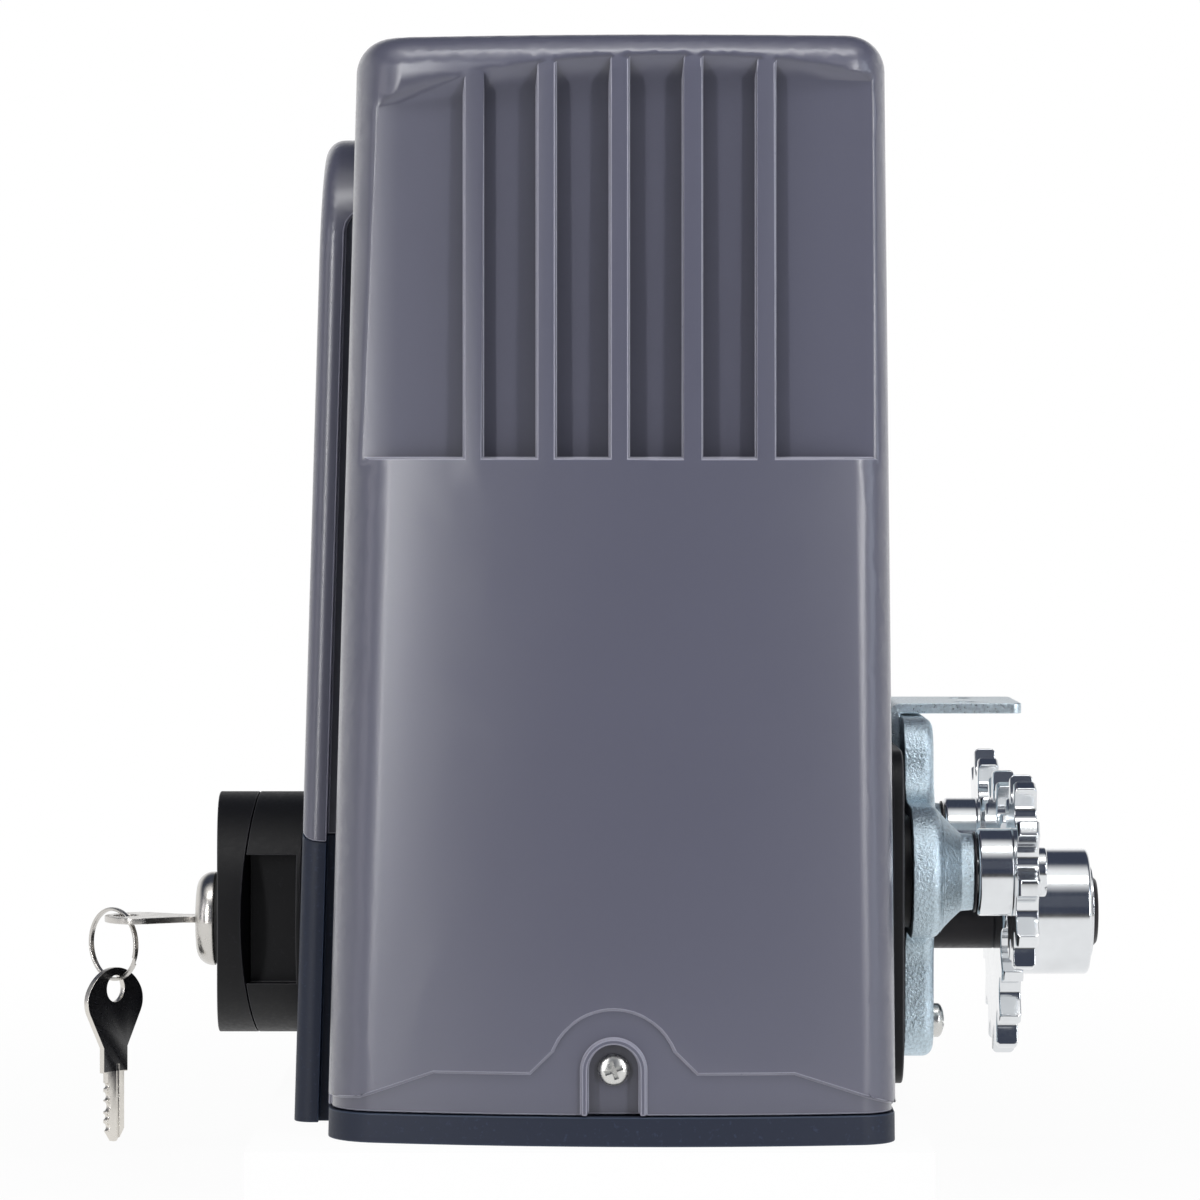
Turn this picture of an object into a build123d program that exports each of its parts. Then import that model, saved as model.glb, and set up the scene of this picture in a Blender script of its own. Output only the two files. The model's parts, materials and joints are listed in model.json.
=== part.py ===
from build123d import *
import os
from math import cos, pi, radians, sin, sqrt

os.makedirs("parts", exist_ok=True)

# Sliding gate motor that drives a roller chain. Millimetres, +Z up.
# X runs across the gate: the release knob is at -X, the sprockets are at +X.
# Y runs along the gate. The origin is the middle of the four foundation slots,
# on the underside of the base.

# Casing: plan outline at the foot and at the top
casing_width = 230.0
casing_height = 256.0
front_x_foot = -66.4
front_x_top = -59.4
gate_x_foot = 65.8
gate_x_top = 63.2
side_lean = 2.0
front_corner_fall = 11.0
gate_corner_fall = 5.0
front_corner_radius = 15.0
gate_corner_radius = 10.0
top_edge_radius = 8.5
cover_wall = 3.0
cover_top_wall = 3.5

# Base casting
plinth_height = 6.8
base_floor = 8.0
cover_seam = 0.3
upstand_gap = 0.4
upstand_width = 3.0
upstand_height = 14.0

# Foundation slots, across the gate so that the chain can be set
slot_spacing_x = 80.0
slot_inset = 23.0
slot_spacing_y = casing_width - 2 * slot_inset
slot_length = 20.0
slot_width = 9.0

# Cable entry and its grommet
cable_inset = 37.0
cable_y = cable_inset - casing_width / 2
cable_hole_radius = 12.5
cable_bore_radius = 8.0
grommet_lip = 3.0
grommet_lip_height = 2.5

# Flutes on both crowned sides
flute_low = 158.0
flute_top = 252.0
flute_ramp = 9.0
flute_depth = 5.5
flute_end_inset = 3.6
rib_count = 5
rib_width = 4.25
rib_pitch = 16.85
rib_middle_x = 1.7

# Skirt line with an arch over the cover screw
skirt_depth = 0.9
skirt_front_z = 10.5
skirt_gate_z = 8.5
skirt_shoulder_z = 16.7
skirt_outer_x = 41.5
skirt_inner_x = 19.3
arch_foot_x = 14.0
arch_foot_z = 21.9
arch_top_z = 31.5
cover_screw_block = 10.0
cover_screw_block_width = 14.0
cover_screw_block_top = 25.5
pad_gap = 0.3
screw_x = 0.4
screw_z = 17.4
slot_boss_half = 7.4
slot_pocket_half = 6.05
slot_pocket_depth = 3.0
slot_rim_height = 1.0
slot_pad_margin = 1.5

# Raised front panel, the navy apron below it and the line between them
panel_half_width = 67.0
panel_front_foot = -75.8
panel_front_lean = 6.7 / 231.0
panel_top = 235.7
panel_corner_radius = 30.0
panel_edge_radius = 4.5
channel_lip = 6.0
channel_depth = 3.2
channel_top = 218.0
apron_side_z = 66.6
apron_crown_z = 84.0
apron_wall = 4.0

# Output shaft line
shaft_z = 45.0
shaft_radius = 8.5
shaft_seal_radius = 9.25
shaft_nose_radius = 8.75
shaft_end_x = 121.5
running_gap = 0.05

# Roller chain and sprockets
chain_pitch = 12.7
roller_radius = 3.96
sprocket_width = 5.4
sprocket_x = 95.5
tip_height = 2.75
tooth_chamfer = 0.7
flank_angle = 25.0
idler_teeth = 10
idler_tip_angle = 113.5
far_idler_tip_angle = 82.0
drive_teeth = 16
drive_tip_angle = 90.0
drive_hub_radius = 15.65
drive_hub_end_x = 119.3
idler_spacing = 124.0
idler_z = 59.3
idler_hub_radius = 10.45
idler_hub_x = 87.2
idler_pin_radius = 5.0
idler_pin_head_radius = 5.9
idler_pin_head = 2.6
idler_washer_radius = 9.6
idler_washer_thickness = 0.5

# Cast carrier plate on the gate side
plate_back_x = 71.3
plate_thickness = 7.3
plate_half_width = 39.0
plate_low_z = 12.0
plate_top_z = 94.8
plate_corner_radius = 9.0
plate_edge_radius = 2.6
lobe_radius = 15.7
lobe_blend_radius = 9.0
boss_foot_radius = 14.0
boss_neck_radius = 9.3
boss_cone_length = 4.7
boss_length = 7.8
plate_screw_y = 30.0
plate_screw_low_z = 20.7
plate_screw_radius = 2.5
plate_screw_head_radius = 4.15
plate_screw_head = 2.9
bracket_screw_y = 12.0
bracket_screw_z = 86.5

# Black closing panel behind the carrier plate
rear_panel_half_width = 84.0
rear_panel_low_z = 10.0
rear_panel_top_z = 89.0
rear_panel_thickness = 2.8
rear_panel_corner = 12.0
rear_tab_half_width = 25.0
rear_tab_top_z = 95.0
rear_tab_corner = 4.5
rear_pad_inset = 2.5
notch_lap = 4.0

# Folded bracket over the sprockets
bracket_half_width = 21.0
bracket_gauge = 2.5
bracket_reach_x = 101.3
bracket_top_z = 97.9
bracket_foot_z = 78.0
bracket_bend = 2.6
bracket_corner = 2.0
bracket_hole_x = 88.0
bracket_hole_spacing = 24.0
bracket_hole_radius = 2.75

# Release knob and lock
knob_radius = 30.0
knob_front_x = -97.8
knob_back_x = -76.2
knob_dish = 1.3
knob_seam_x = -88.0
knob_seam_bow = 3.0
knob_seam_gap = 0.25
knob_pocket_half = 15.8
knob_pocket_floor = 20.5
knob_rim = 1.2
lock_z = 43.2
lock_cap_radius = 11.65
lock_cap_front_x = -103.6
lock_cap_back_x = -98.9
lock_cap_flat_radius = 7.4
lock_cap_crown = 1.3
lock_cap_crown_radius = 10.6
lock_face_x = -100.3
lock_barrel_radius = 9.0
lock_barrel_end_x = -82.0
lock_plug_radius = 6.0
lock_cam_thickness = 1.8
lock_cam_reach = 12.0
lock_cam_width = 6.0
lock_cam_hub_radius = 4.0
spindle_radius = 7.0
spindle_end_x = -52.5
bush_wall = 2.5
apron_boss_radius = 24.0
apron_boss_x = -75.8
apron_boss_depth = 10.0

# Keys and split ring
key_gauge = 1.5
key_bow_width = 22.0
key_bow_length = 20.0
key_length = 43.6
key_shoulder = 26.3
key_neck_width = 9.0
key_blade_width = 6.4
key_hole_radius = 3.35
key_hole_offset = 5.3
key_fit = 0.15
ring_radius = 8.65
ring_wire_radius = 0.6
ring_wire_width = 1.7
ring_edge = 0.35
ring_turn = -45.0
ring_reach = 4.8
ring_rest_gap = 0.55
spare_turn = 54.0

# Worm drive: centre distance from a two-millimetre module
gear_module = 2.0
wheel_teeth = 30
worm_pitch_radius = 10.0
wheel_pitch_radius = gear_module * wheel_teeth / 2
worm_y = wheel_pitch_radius + worm_pitch_radius
thread_backlash = 0.7
wheel_width = 16.0

# Gear case
case_front_x = -48.0
case_lid_x = 46.0
case_gate_x = 61.5
case_near_y = -38.0
case_far_y = 78.0
case_top_z = 92.0
case_edge = 4.0
chamber_radius = 34.5
chamber_front_x = -16.0
worm_chamber_radius = 16.0
case_screw_radius = 2.0
case_screw_head_radius = 3.8
case_screw_head = 2.6
case_screw_sink = 3.0
case_screw_depth = 10.0

# Motor
motor_outer_radius = 50.0
motor_wall = 6.0
motor_top_z = 172.0
motor_cap_thickness = 10.0
stator_inner_radius = 28.5
rotor_radius = 28.0
stack_low_z = 106.0
stack_height = 50.0
winding_height = 11.0
winding_mid_radius = 36.5
winding_width = 14.0
winding_gap = 0.6
winding_edge = 3.0
motor_bearing_outer = 14.0
motor_bearing_width = 8.0
cap_screw_inset = 3.5
cap_screw_radius = 1.5
cap_screw_head_radius = 2.75
cap_screw_head = 2.2
cap_screw_depth = 6.0

# Control gear behind the near side of the cover
tray_y = -44.0
tray_gauge = 2.0
tray_half_width = 50.0
tray_top_z = 214.0
board_gap = 6.0
board_gauge = 1.6
board_width = 88.0
board_height = 96.0
board_mid_z = 152.0


def casing_form(inset, low, high, edge_radius):
    """Casing body between two heights, moved inwards by an inset, with its top edge rounded."""
    with BuildPart() as form:
        for height in (low, high):
            share = height / casing_height
            front = front_x_foot + (front_x_top - front_x_foot) * share + inset
            gate = gate_x_foot + (gate_x_top - gate_x_foot) * share - inset
            crown = casing_width / 2 - side_lean * share - inset
            front_y = crown - front_corner_fall
            gate_y = crown - gate_corner_fall
            middle = (front + gate) / 2
            with BuildSketch(Plane.XY.offset(height)) as outline:
                with BuildLine():
                    Line((front, -front_y), (front, front_y))
                    ThreePointArc((front, front_y), (middle, crown), (gate, gate_y))
                    Line((gate, gate_y), (gate, -gate_y))
                    ThreePointArc((gate, -gate_y), (middle, -crown), (front, -front_y))
                make_face()
                fillet(outline.vertices().group_by(Axis.X)[0], front_corner_radius - inset)
                fillet(outline.vertices().group_by(Axis.X)[-1], gate_corner_radius - inset)
        loft(ruled=True)
        if edge_radius > 0:
            fillet(form.faces().sort_by(Axis.Z)[-1].edges(), edge_radius)
    return form.part


def panel_form(inset, side_inset, low):
    """Raised front panel with its leaning face, moved inwards at the face and at the sides."""
    face_foot = panel_front_foot + inset
    face_normal = (-1.0, 0.0, panel_front_lean)
    half = panel_half_width - side_inset
    with BuildPart() as form:
        with BuildSketch(Plane.YZ.offset(front_x_foot + 12.0)) as outline:
            with Locations((0, low)):
                Rectangle(2 * half, panel_top - side_inset - low, align=(Align.CENTER, Align.MIN))
            fillet(outline.vertices().group_by(Axis.Y)[-1], panel_corner_radius - side_inset)
        extrude(amount=-30.0)
        split(bisect_by=Plane(origin=(face_foot, 0, 0), z_dir=face_normal), keep=Keep.BOTTOM)
        face_edges = form.faces().sort_by(Axis.X)[0].edges().sort_by(Axis.Z)
        fillet(face_edges[1:], panel_edge_radius)
    return form.part


def side_channels():
    """Channels that part the panel's lip from the casing, on both sides."""
    depth_y = panel_half_width - channel_depth
    front_foot = panel_front_foot + channel_lip
    front_top = front_foot + panel_front_lean * channel_top
    with BuildPart() as cutter:
        with BuildSketch(Plane.XZ.offset(depth_y)) as side:
            with BuildLine():
                Polyline(
                    (front_foot - panel_front_lean, -1.0),
                    (front_top, channel_top),
                    (front_x_foot + 14.0, channel_top),
                    (front_x_foot + 14.0, -1.0),
                    close=True,
                )
            make_face()
            fillet(side.vertices().group_by(Axis.Y)[-1].sort_by(Axis.X)[0], 6.0)
        extrude(amount=20.0)
        mirror(about=Plane.XZ)
    return cutter.part


def apron_prism(gap):
    """Everything below the arched line between the apron and the cover's front panel."""
    reach = panel_half_width + cover_seam - gap
    side_z = apron_side_z - gap
    with BuildPart() as prism:
        with BuildSketch(Plane.YZ.offset(panel_front_foot - 6.0)):
            with BuildLine():
                Polyline((reach, side_z), (reach, -1.0), (-reach, -1.0), (-reach, side_z))
                ThreePointArc((-reach, side_z), (0, apron_crown_z - gap), (reach, side_z))
            make_face()
        extrude(amount=front_x_foot + 9.0 - panel_front_foot + 6.0)
    return prism.part


def notch_prism(lap, low, start_x, end_x):
    """Opening in the casing's gate side, with a raised middle for the bracket's screws."""
    half = rear_panel_half_width - lap
    top = rear_panel_top_z - lap
    with BuildPart() as prism:
        with BuildSketch(Plane.YZ.offset(start_x)) as outline:
            with Locations((0, low)):
                Rectangle(2 * half, top - low, align=(Align.CENTER, Align.MIN))
            fillet(outline.vertices().group_by(Axis.Y)[-1], rear_panel_corner - lap)
            with Locations((0, low)):
                tab_width = 2 * (rear_tab_half_width - lap)
                Rectangle(tab_width, rear_tab_top_z - lap - low, align=(Align.CENTER, Align.MIN))
        extrude(amount=end_x - start_x)
    return prism.part


def ring_bearing(axis_plane, bore_radius, outer_radius, width):
    """Ball bearing seen from outside: two rings with a recessed shield between them."""
    race = (outer_radius - bore_radius) * 0.28
    with BuildPart() as bearing:
        with BuildSketch(axis_plane):
            Circle(outer_radius)
            Circle(bore_radius, mode=Mode.SUBTRACT)
        extrude(amount=width)
        for face_offset in (0, width):
            inwards = 0.5 if face_offset == 0 else -0.5
            with BuildSketch(axis_plane.offset(face_offset)):
                Circle(outer_radius - race)
                Circle(bore_radius + race, mode=Mode.SUBTRACT)
            extrude(amount=inwards, mode=Mode.SUBTRACT)
    return bearing


def sprocket(axis_y, axis_z, teeth, tip_angle, hub_radius, hub_low_x, hub_high_x, bore_radius):
    """Plate sprocket with a hub. The tooth gaps seat the chain rollers on the pitch circle."""
    pitch_circle = chain_pitch / 2 / sin(pi / teeth)
    tip_circle = pitch_circle + tip_height
    axis_plane = Plane(origin=(sprocket_x, axis_y, axis_z), x_dir=(0, 1, 0), z_dir=(1, 0, 0))
    flank = radians(flank_angle)
    reach = tip_height + 2.0
    foot_x = -roller_radius * sin(flank)
    foot_y = roller_radius * cos(flank)
    mouth_y = foot_y + (reach - foot_x) * sin(flank) / cos(flank)
    with BuildPart() as wheel:
        with BuildSketch(axis_plane):
            Circle(tip_circle)
        extrude(amount=sprocket_width)
        chamfer(wheel.edges().filter_by(GeomType.CIRCLE), tooth_chamfer)
        with BuildSketch(axis_plane.offset(-1)):
            with PolarLocations(pitch_circle, teeth, start_angle=tip_angle + 180 / teeth):
                Circle(roller_radius)
                Polygon(
                    (foot_x, -foot_y), (reach, -mouth_y), (reach, mouth_y), (foot_x, foot_y), align=None
                )
        extrude(amount=sprocket_width + 2, mode=Mode.SUBTRACT)
        with BuildSketch(axis_plane.offset(hub_low_x - sprocket_x)):
            Circle(hub_radius)
        extrude(amount=hub_high_x - hub_low_x)
        hub_ends = wheel.edges().filter_by(GeomType.CIRCLE).sort_by(Axis.X)
        outer_end = hub_ends[0] if hub_low_x < sprocket_x else hub_ends[-1]
        chamfer(outer_end, 0.6)
        with BuildSketch(axis_plane.offset(hub_low_x - sprocket_x - 1)):
            Circle(bore_radius)
        extrude(amount=hub_high_x - hub_low_x + sprocket_width + 2, mode=Mode.SUBTRACT)
    return wheel


def key_blank():
    """Flat key in the XY plane, hung from its hole: bow at the origin's side, tip towards -Y."""
    bow_half = key_bow_width / 2
    blade_half = key_blade_width / 2
    neck_half = key_neck_width / 2
    with BuildPart() as key:
        with BuildSketch(Plane.XY.offset(-key_gauge / 2)) as outline:
            with BuildLine():
                ThreePointArc((-bow_half, -key_bow_length * 0.45), (0, 0), (bow_half, -key_bow_length * 0.45))
                Line((bow_half, -key_bow_length * 0.45), (neck_half, -key_bow_length))
                Polyline(
                    (neck_half, -key_bow_length),
                    (neck_half, -key_shoulder),
                    (blade_half, -key_shoulder),
                    (blade_half, -key_length + 3.0),
                    (blade_half - 2.4, -key_length),
                    (-blade_half + 2.4, -key_length),
                    (-blade_half, -key_length + 3.0),
                    (-blade_half, -key_shoulder),
                    (-neck_half, -key_shoulder),
                    (-neck_half, -key_bow_length),
                )
                Line((-neck_half, -key_bow_length), (-bow_half, -key_bow_length * 0.45))
            make_face()
            bow_corners = outline.vertices().filter_by(lambda corner: abs(abs(corner.X) - bow_half) < 0.01)
            fillet(bow_corners, 6.0)
            with Locations((0, -key_hole_offset)):
                Circle(key_hole_radius, mode=Mode.SUBTRACT)
            cut_step = 2.6
            for cut in range(5):
                with Locations((-blade_half, -key_shoulder - 3.2 - cut * cut_step)):
                    Circle(0.7 + 0.25 * (cut % 3), mode=Mode.SUBTRACT)
        extrude(amount=key_gauge)
        groove_length = key_length - key_shoulder + 2.0
        for face_z in (-key_gauge / 2, key_gauge / 2):
            with BuildSketch(Plane.XY.offset(face_z)):
                with Locations((0.8, -key_length + groove_length / 2)):
                    Rectangle(1.1, groove_length)
            extrude(amount=0.35, both=True, mode=Mode.SUBTRACT)
    return key.part


def pan_screw(head_plane, head_radius, head_height, shank_radius, length):
    """Pan-head screw: its head stands on the plane and its shank goes the other way."""
    outwards = Axis(head_plane.origin, head_plane.z_dir)
    with BuildPart() as screw:
        with BuildSketch(head_plane):
            Circle(head_radius)
        extrude(amount=head_height)
        fillet(screw.faces().sort_by(outwards)[-1].edges(), head_height * 0.45)
        with BuildSketch(head_plane):
            Circle(shank_radius)
        extrude(amount=-length)
        with BuildSketch(head_plane.offset(head_height * 0.5)):
            Rectangle(head_radius * 1.05, head_radius * 0.28)
            Rectangle(head_radius * 0.28, head_radius * 1.05)
        extrude(amount=head_height, mode=Mode.SUBTRACT)
    return screw.part


# Raised panel with its side channels, shared by the cover and the base casting's apron
front_panel = panel_form(0, 0, 0) - side_channels()
front_wall = casing_form(0, 0, panel_top, 0) - casing_form(cover_wall, 0, panel_top, 0)

# Base moulding: plinth, floor, upstand inside the cover, and the apron
slot_face_y = casing_width / 2 - skirt_depth
screw_pad_y = slot_face_y - slot_pocket_depth - cover_wall
with BuildPart() as base_housing:
    add(casing_form(0.2, 0, plinth_height, 0))
    add(casing_form(cover_wall + upstand_gap, 0, upstand_height, 0))
    upstand_inset = cover_wall + upstand_gap + upstand_width
    add(casing_form(upstand_inset, base_floor, upstand_height + 2, 0), mode=Mode.SUBTRACT)
    add((front_panel + front_wall) & apron_prism(cover_seam))
    add(panel_form(apron_wall, apron_wall + channel_depth, base_floor), mode=Mode.SUBTRACT)
    with BuildSketch(Plane(origin=(apron_boss_x, 0, shaft_z), x_dir=(0, 1, 0), z_dir=(1, 0, 0))):
        Circle(apron_boss_radius)
    extrude(amount=apron_boss_depth)
    with BuildSketch(Plane.XY.offset(plinth_height)):
        with Locations((screw_x, -casing_width / 2), (screw_x, casing_width / 2)):
            Rectangle(
                2 * (slot_boss_half + slot_pad_margin + upstand_gap),
                2 * (casing_width / 2 - screw_pad_y + pad_gap),
            )
    extrude(amount=upstand_height, mode=Mode.SUBTRACT)
    for side in (-1, 1):
        with BuildSketch(Plane.XY.offset(base_floor)):
            with Locations((screw_x, side * (screw_pad_y - pad_gap - cover_screw_block / 2))):
                Rectangle(cover_screw_block_width, cover_screw_block)
        extrude(amount=cover_screw_block_top - base_floor)
    add(notch_prism(notch_lap, base_floor, case_lid_x, gate_x_foot + 2.0), mode=Mode.SUBTRACT)
    with BuildSketch(Plane.XZ.offset(-casing_width / 2)):
        with Locations((screw_x, screw_z)):
            Circle(2.05)
    extrude(amount=casing_width, mode=Mode.SUBTRACT)
    with BuildSketch(Plane(origin=(apron_boss_x - 1, 0, shaft_z), x_dir=(0, 1, 0), z_dir=(1, 0, 0))):
        Circle(spindle_radius + bush_wall + running_gap)
    extrude(amount=14.0, mode=Mode.SUBTRACT)
    with BuildSketch(Plane.XY):
        with GridLocations(slot_spacing_x, slot_spacing_y, 2, 2):
            SlotOverall(slot_length, slot_width)
        with Locations((0, cable_y)):
            Circle(cable_hole_radius)
    extrude(amount=base_floor + 4, mode=Mode.SUBTRACT)
base_housing.part.label = "base_housing"
export_step(base_housing.part, "parts/base_housing.step")

# Cover: one moulding with the flutes, the front panel, the skirt line and the screw slots
flute_mid_y = casing_width / 2 - side_lean - flute_depth
flute_front_x = front_x_foot + flute_end_inset + 4.3
flute_gate_x = gate_x_foot - flute_end_inset - 2.2
flute_front_y = casing_width / 2 - front_corner_fall - side_lean
flute_gate_y = casing_width / 2 - gate_corner_fall - side_lean - 0.5
with BuildPart() as flutes:
    with BuildSketch(Plane.XY.offset(flute_low)) as flute_plan:
        with BuildLine():
            ThreePointArc((flute_front_x, -flute_front_y), (0, -flute_mid_y), (flute_gate_x, -flute_gate_y))
            Polyline(
                (flute_gate_x, -flute_gate_y),
                (gate_x_foot + 8.0, -flute_gate_y + 1.0),
                (gate_x_foot + 8.0, -casing_width / 2 - 8.0),
                (front_x_foot - 8.0, -casing_width / 2 - 8.0),
                (front_x_foot - 8.0, -flute_front_y + 1.0),
                (flute_front_x, -flute_front_y),
            )
        make_face()
    extrude(amount=flute_top - flute_low)
    with BuildSketch(Plane.YZ.offset(front_x_foot - 10.0)):
        with BuildLine():
            Polyline(
                (-flute_mid_y + 8.0, flute_top - flute_ramp * 1.8),
                (-flute_mid_y - flute_depth - 1.0, flute_top),
                (-flute_mid_y - flute_depth - 1.0, flute_top + 2.0),
                (-flute_mid_y + 8.0, flute_top + 2.0),
                close=True,
            )
        make_face()
    extrude(amount=gate_x_foot - front_x_foot + 20.0, mode=Mode.SUBTRACT)
    with BuildSketch(Plane.XY.offset(flute_low)):
        for rib in range(rib_count):
            rib_x = rib_middle_x + (rib - (rib_count - 1) / 2) * rib_pitch
            with Locations((rib_x, -casing_width / 2)):
                Rectangle(rib_width, 30.0)
    extrude(amount=flute_top - flute_low, mode=Mode.SUBTRACT)

with BuildPart() as skirt:
    with BuildSketch(Plane.XZ.offset(casing_width / 2 - 24.0)):
        with BuildLine():
            Polyline(
                (front_x_foot - 4.0, skirt_front_z - 1.0),
                (front_x_foot + 8.0, skirt_front_z),
                (screw_x - skirt_outer_x, skirt_shoulder_z),
                (screw_x - skirt_inner_x, skirt_shoulder_z),
                (screw_x - arch_foot_x, arch_foot_z),
            )
            ThreePointArc(
                (screw_x - arch_foot_x, arch_foot_z),
                (screw_x, arch_top_z),
                (screw_x + arch_foot_x, arch_foot_z),
            )
            Polyline(
                (screw_x + arch_foot_x, arch_foot_z),
                (screw_x + skirt_inner_x, skirt_shoulder_z),
                (screw_x + skirt_outer_x, skirt_shoulder_z),
                (gate_x_foot + 4.0, skirt_gate_z - 1.0),
                (gate_x_foot + 4.0, 0.0),
                (front_x_foot - 4.0, 0.0),
                (front_x_foot - 4.0, skirt_front_z - 1.0),
            )
        make_face()
    extrude(amount=30.0)
    add(casing_form(skirt_depth, -1, arch_top_z + 2, 0), mode=Mode.SUBTRACT)

with BuildPart() as screw_slot_rim:
    with BuildSketch(Plane.XZ.offset(slot_face_y - 4.0)) as slot_outline:
        with Locations((screw_x, screw_z)):
            Circle(slot_boss_half)
        with Locations((screw_x, screw_z / 2)):
            Rectangle(2 * slot_boss_half, screw_z)
    extrude(amount=4.0 + slot_rim_height)
with BuildPart() as screw_slot_pocket:
    with BuildSketch(Plane.XZ.offset(slot_face_y - slot_pocket_depth)):
        with Locations((screw_x, screw_z)):
            Circle(slot_pocket_half)
        with Locations((screw_x, screw_z / 2 - 1)):
            Rectangle(2 * slot_pocket_half, screw_z + 2)
    extrude(amount=10.0)
screw_bore_radius = 2.25
with BuildPart() as screw_slot_pad:
    with BuildSketch(Plane.XZ.offset(screw_pad_y)):
        with Locations((screw_x, screw_z)):
            Circle(slot_boss_half + slot_pad_margin)
        with Locations((screw_x, (screw_z + plinth_height) / 2)):
            Rectangle(2 * (slot_boss_half + slot_pad_margin), screw_z - plinth_height - 2 * cover_seam)
    extrude(amount=cover_wall + slot_pocket_depth - 1.5)

cover_inner_top = casing_height - cover_top_wall
with BuildPart() as cover:
    add(casing_form(0, 0, casing_height, top_edge_radius))
    add(flutes.part, mode=Mode.SUBTRACT)
    add(flutes.part.mirror(Plane.XZ), mode=Mode.SUBTRACT)
    add(front_panel)
    add(skirt.part, mode=Mode.SUBTRACT)
    add(skirt.part.mirror(Plane.XZ), mode=Mode.SUBTRACT)
    add(screw_slot_rim.part)
    add(screw_slot_rim.part.mirror(Plane.XZ))
    add(casing_form(cover_wall, -1, flute_low - 4.0, 0), mode=Mode.SUBTRACT)
    add(casing_form(cover_wall + flute_depth, flute_low - 4.5, cover_inner_top, 0), mode=Mode.SUBTRACT)
    add(panel_form(cover_wall, channel_depth + cover_wall, 0), mode=Mode.SUBTRACT)
    add(screw_slot_pad.part)
    add(screw_slot_pad.part.mirror(Plane.XZ))
    add(screw_slot_pocket.part, mode=Mode.SUBTRACT)
    add(screw_slot_pocket.part.mirror(Plane.XZ), mode=Mode.SUBTRACT)
    with BuildSketch(Plane.XZ.offset(-casing_width)):
        with Locations((screw_x, screw_z)):
            Circle(screw_bore_radius)
    extrude(amount=2 * casing_width, mode=Mode.SUBTRACT)
    add(apron_prism(0), mode=Mode.SUBTRACT)
    add(notch_prism(notch_lap, -1, gate_x_foot - 12.0, gate_x_foot + 2.0), mode=Mode.SUBTRACT)
    with BuildSketch(Plane.XY.offset(-2)):
        Rectangle(3 * casing_width, 3 * casing_width)
    extrude(amount=plinth_height + cover_seam + 2, mode=Mode.SUBTRACT)
cover.part.label = "cover"
export_step(cover.part, "parts/cover.step")

# Cover screws, one in each slot, with a threaded block on the base behind it
cover_screw_head_radius = 3.6
cover_screw_head_height = 2.4
cover_screw_radius = 2.0
cover_screw_length = 14.0
screw_face_y = slot_face_y - slot_pocket_depth
with BuildPart() as cover_screws:
    add(
        pan_screw(
            Plane(origin=(screw_x, -screw_face_y, screw_z), x_dir=(1, 0, 0), z_dir=(0, -1, 0)),
            cover_screw_head_radius,
            cover_screw_head_height,
            cover_screw_radius,
            cover_screw_length,
        )
    )
    mirror(about=Plane.XZ)
cover_screws.part.label = "cover_screws"
export_step(cover_screws.part, "parts/cover_screws.step")

# Grommet in the cable hole
with BuildPart() as cable_grommet:
    with BuildSketch(Plane.XY.offset(1.0)):
        with Locations((0, cable_y)):
            Circle(cable_hole_radius - running_gap)
    extrude(amount=base_floor - 1.0)
    with BuildSketch(Plane.XY.offset(base_floor)):
        with Locations((0, cable_y)):
            Circle(cable_hole_radius + grommet_lip)
    extrude(amount=grommet_lip_height)
    fillet(cable_grommet.faces().sort_by(Axis.Z)[-1].edges(), 1.0)
    with BuildSketch(Plane.XY):
        with Locations((0, cable_y)):
            Circle(cable_bore_radius)
    extrude(amount=base_floor + 6, mode=Mode.SUBTRACT)
cable_grommet.part.label = "cable_grommet"
export_step(cable_grommet.part, "parts/cable_grommet.step")

# Gear case: a box with the wheel chamber, the worm chamber and bearing pockets
front_bearing_x = -46.0
front_bearing_width = 12.0
front_bearing_outer = 20.0
rear_bearing_x = 46.5
rear_bearing_width = 9.0
rear_bearing_outer = 20.0
seal_x = rear_bearing_x + rear_bearing_width
seal_width = case_gate_x - seal_x
seal_outer = 16.0
worm_foot_bearing_z = 12.0
worm_foot_bearing_width = 9.0
worm_foot_bearing_outer = 13.0
worm_foot_radius = 5.0
worm_head_bearing_z = 80.5
worm_head_bearing_width = 11.0
worm_head_bearing_outer = 17.5
worm_head_radius = 7.5
bearing_fit = 0.02
shaft_plane = Plane(origin=(0, 0, shaft_z), x_dir=(0, 1, 0), z_dir=(1, 0, 0))
worm_plane = Plane(origin=(0, worm_y, 0), x_dir=(1, 0, 0), z_dir=(0, 0, 1))
case_mid_y = (case_near_y + case_far_y) / 2
case_depth_y = case_far_y - case_near_y
lid_screw_inset_y = 6.5
lid_screw_low_z = 14.0
lid_screw_high_z = 84.0
lid_screw_places = []
for place_y in (case_near_y + lid_screw_inset_y, case_far_y - lid_screw_inset_y):
    for place_z in (lid_screw_low_z, lid_screw_high_z):
        lid_screw_places.append((place_y, place_z))
plate_screw_places = [(-plate_screw_y, plate_screw_low_z), (plate_screw_y, plate_screw_low_z)]
bracket_screw_places = [(-bracket_screw_y, bracket_screw_z), (bracket_screw_y, bracket_screw_z)]
idler_places = [(-idler_spacing / 2, idler_z), (idler_spacing / 2, idler_z)]

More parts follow.
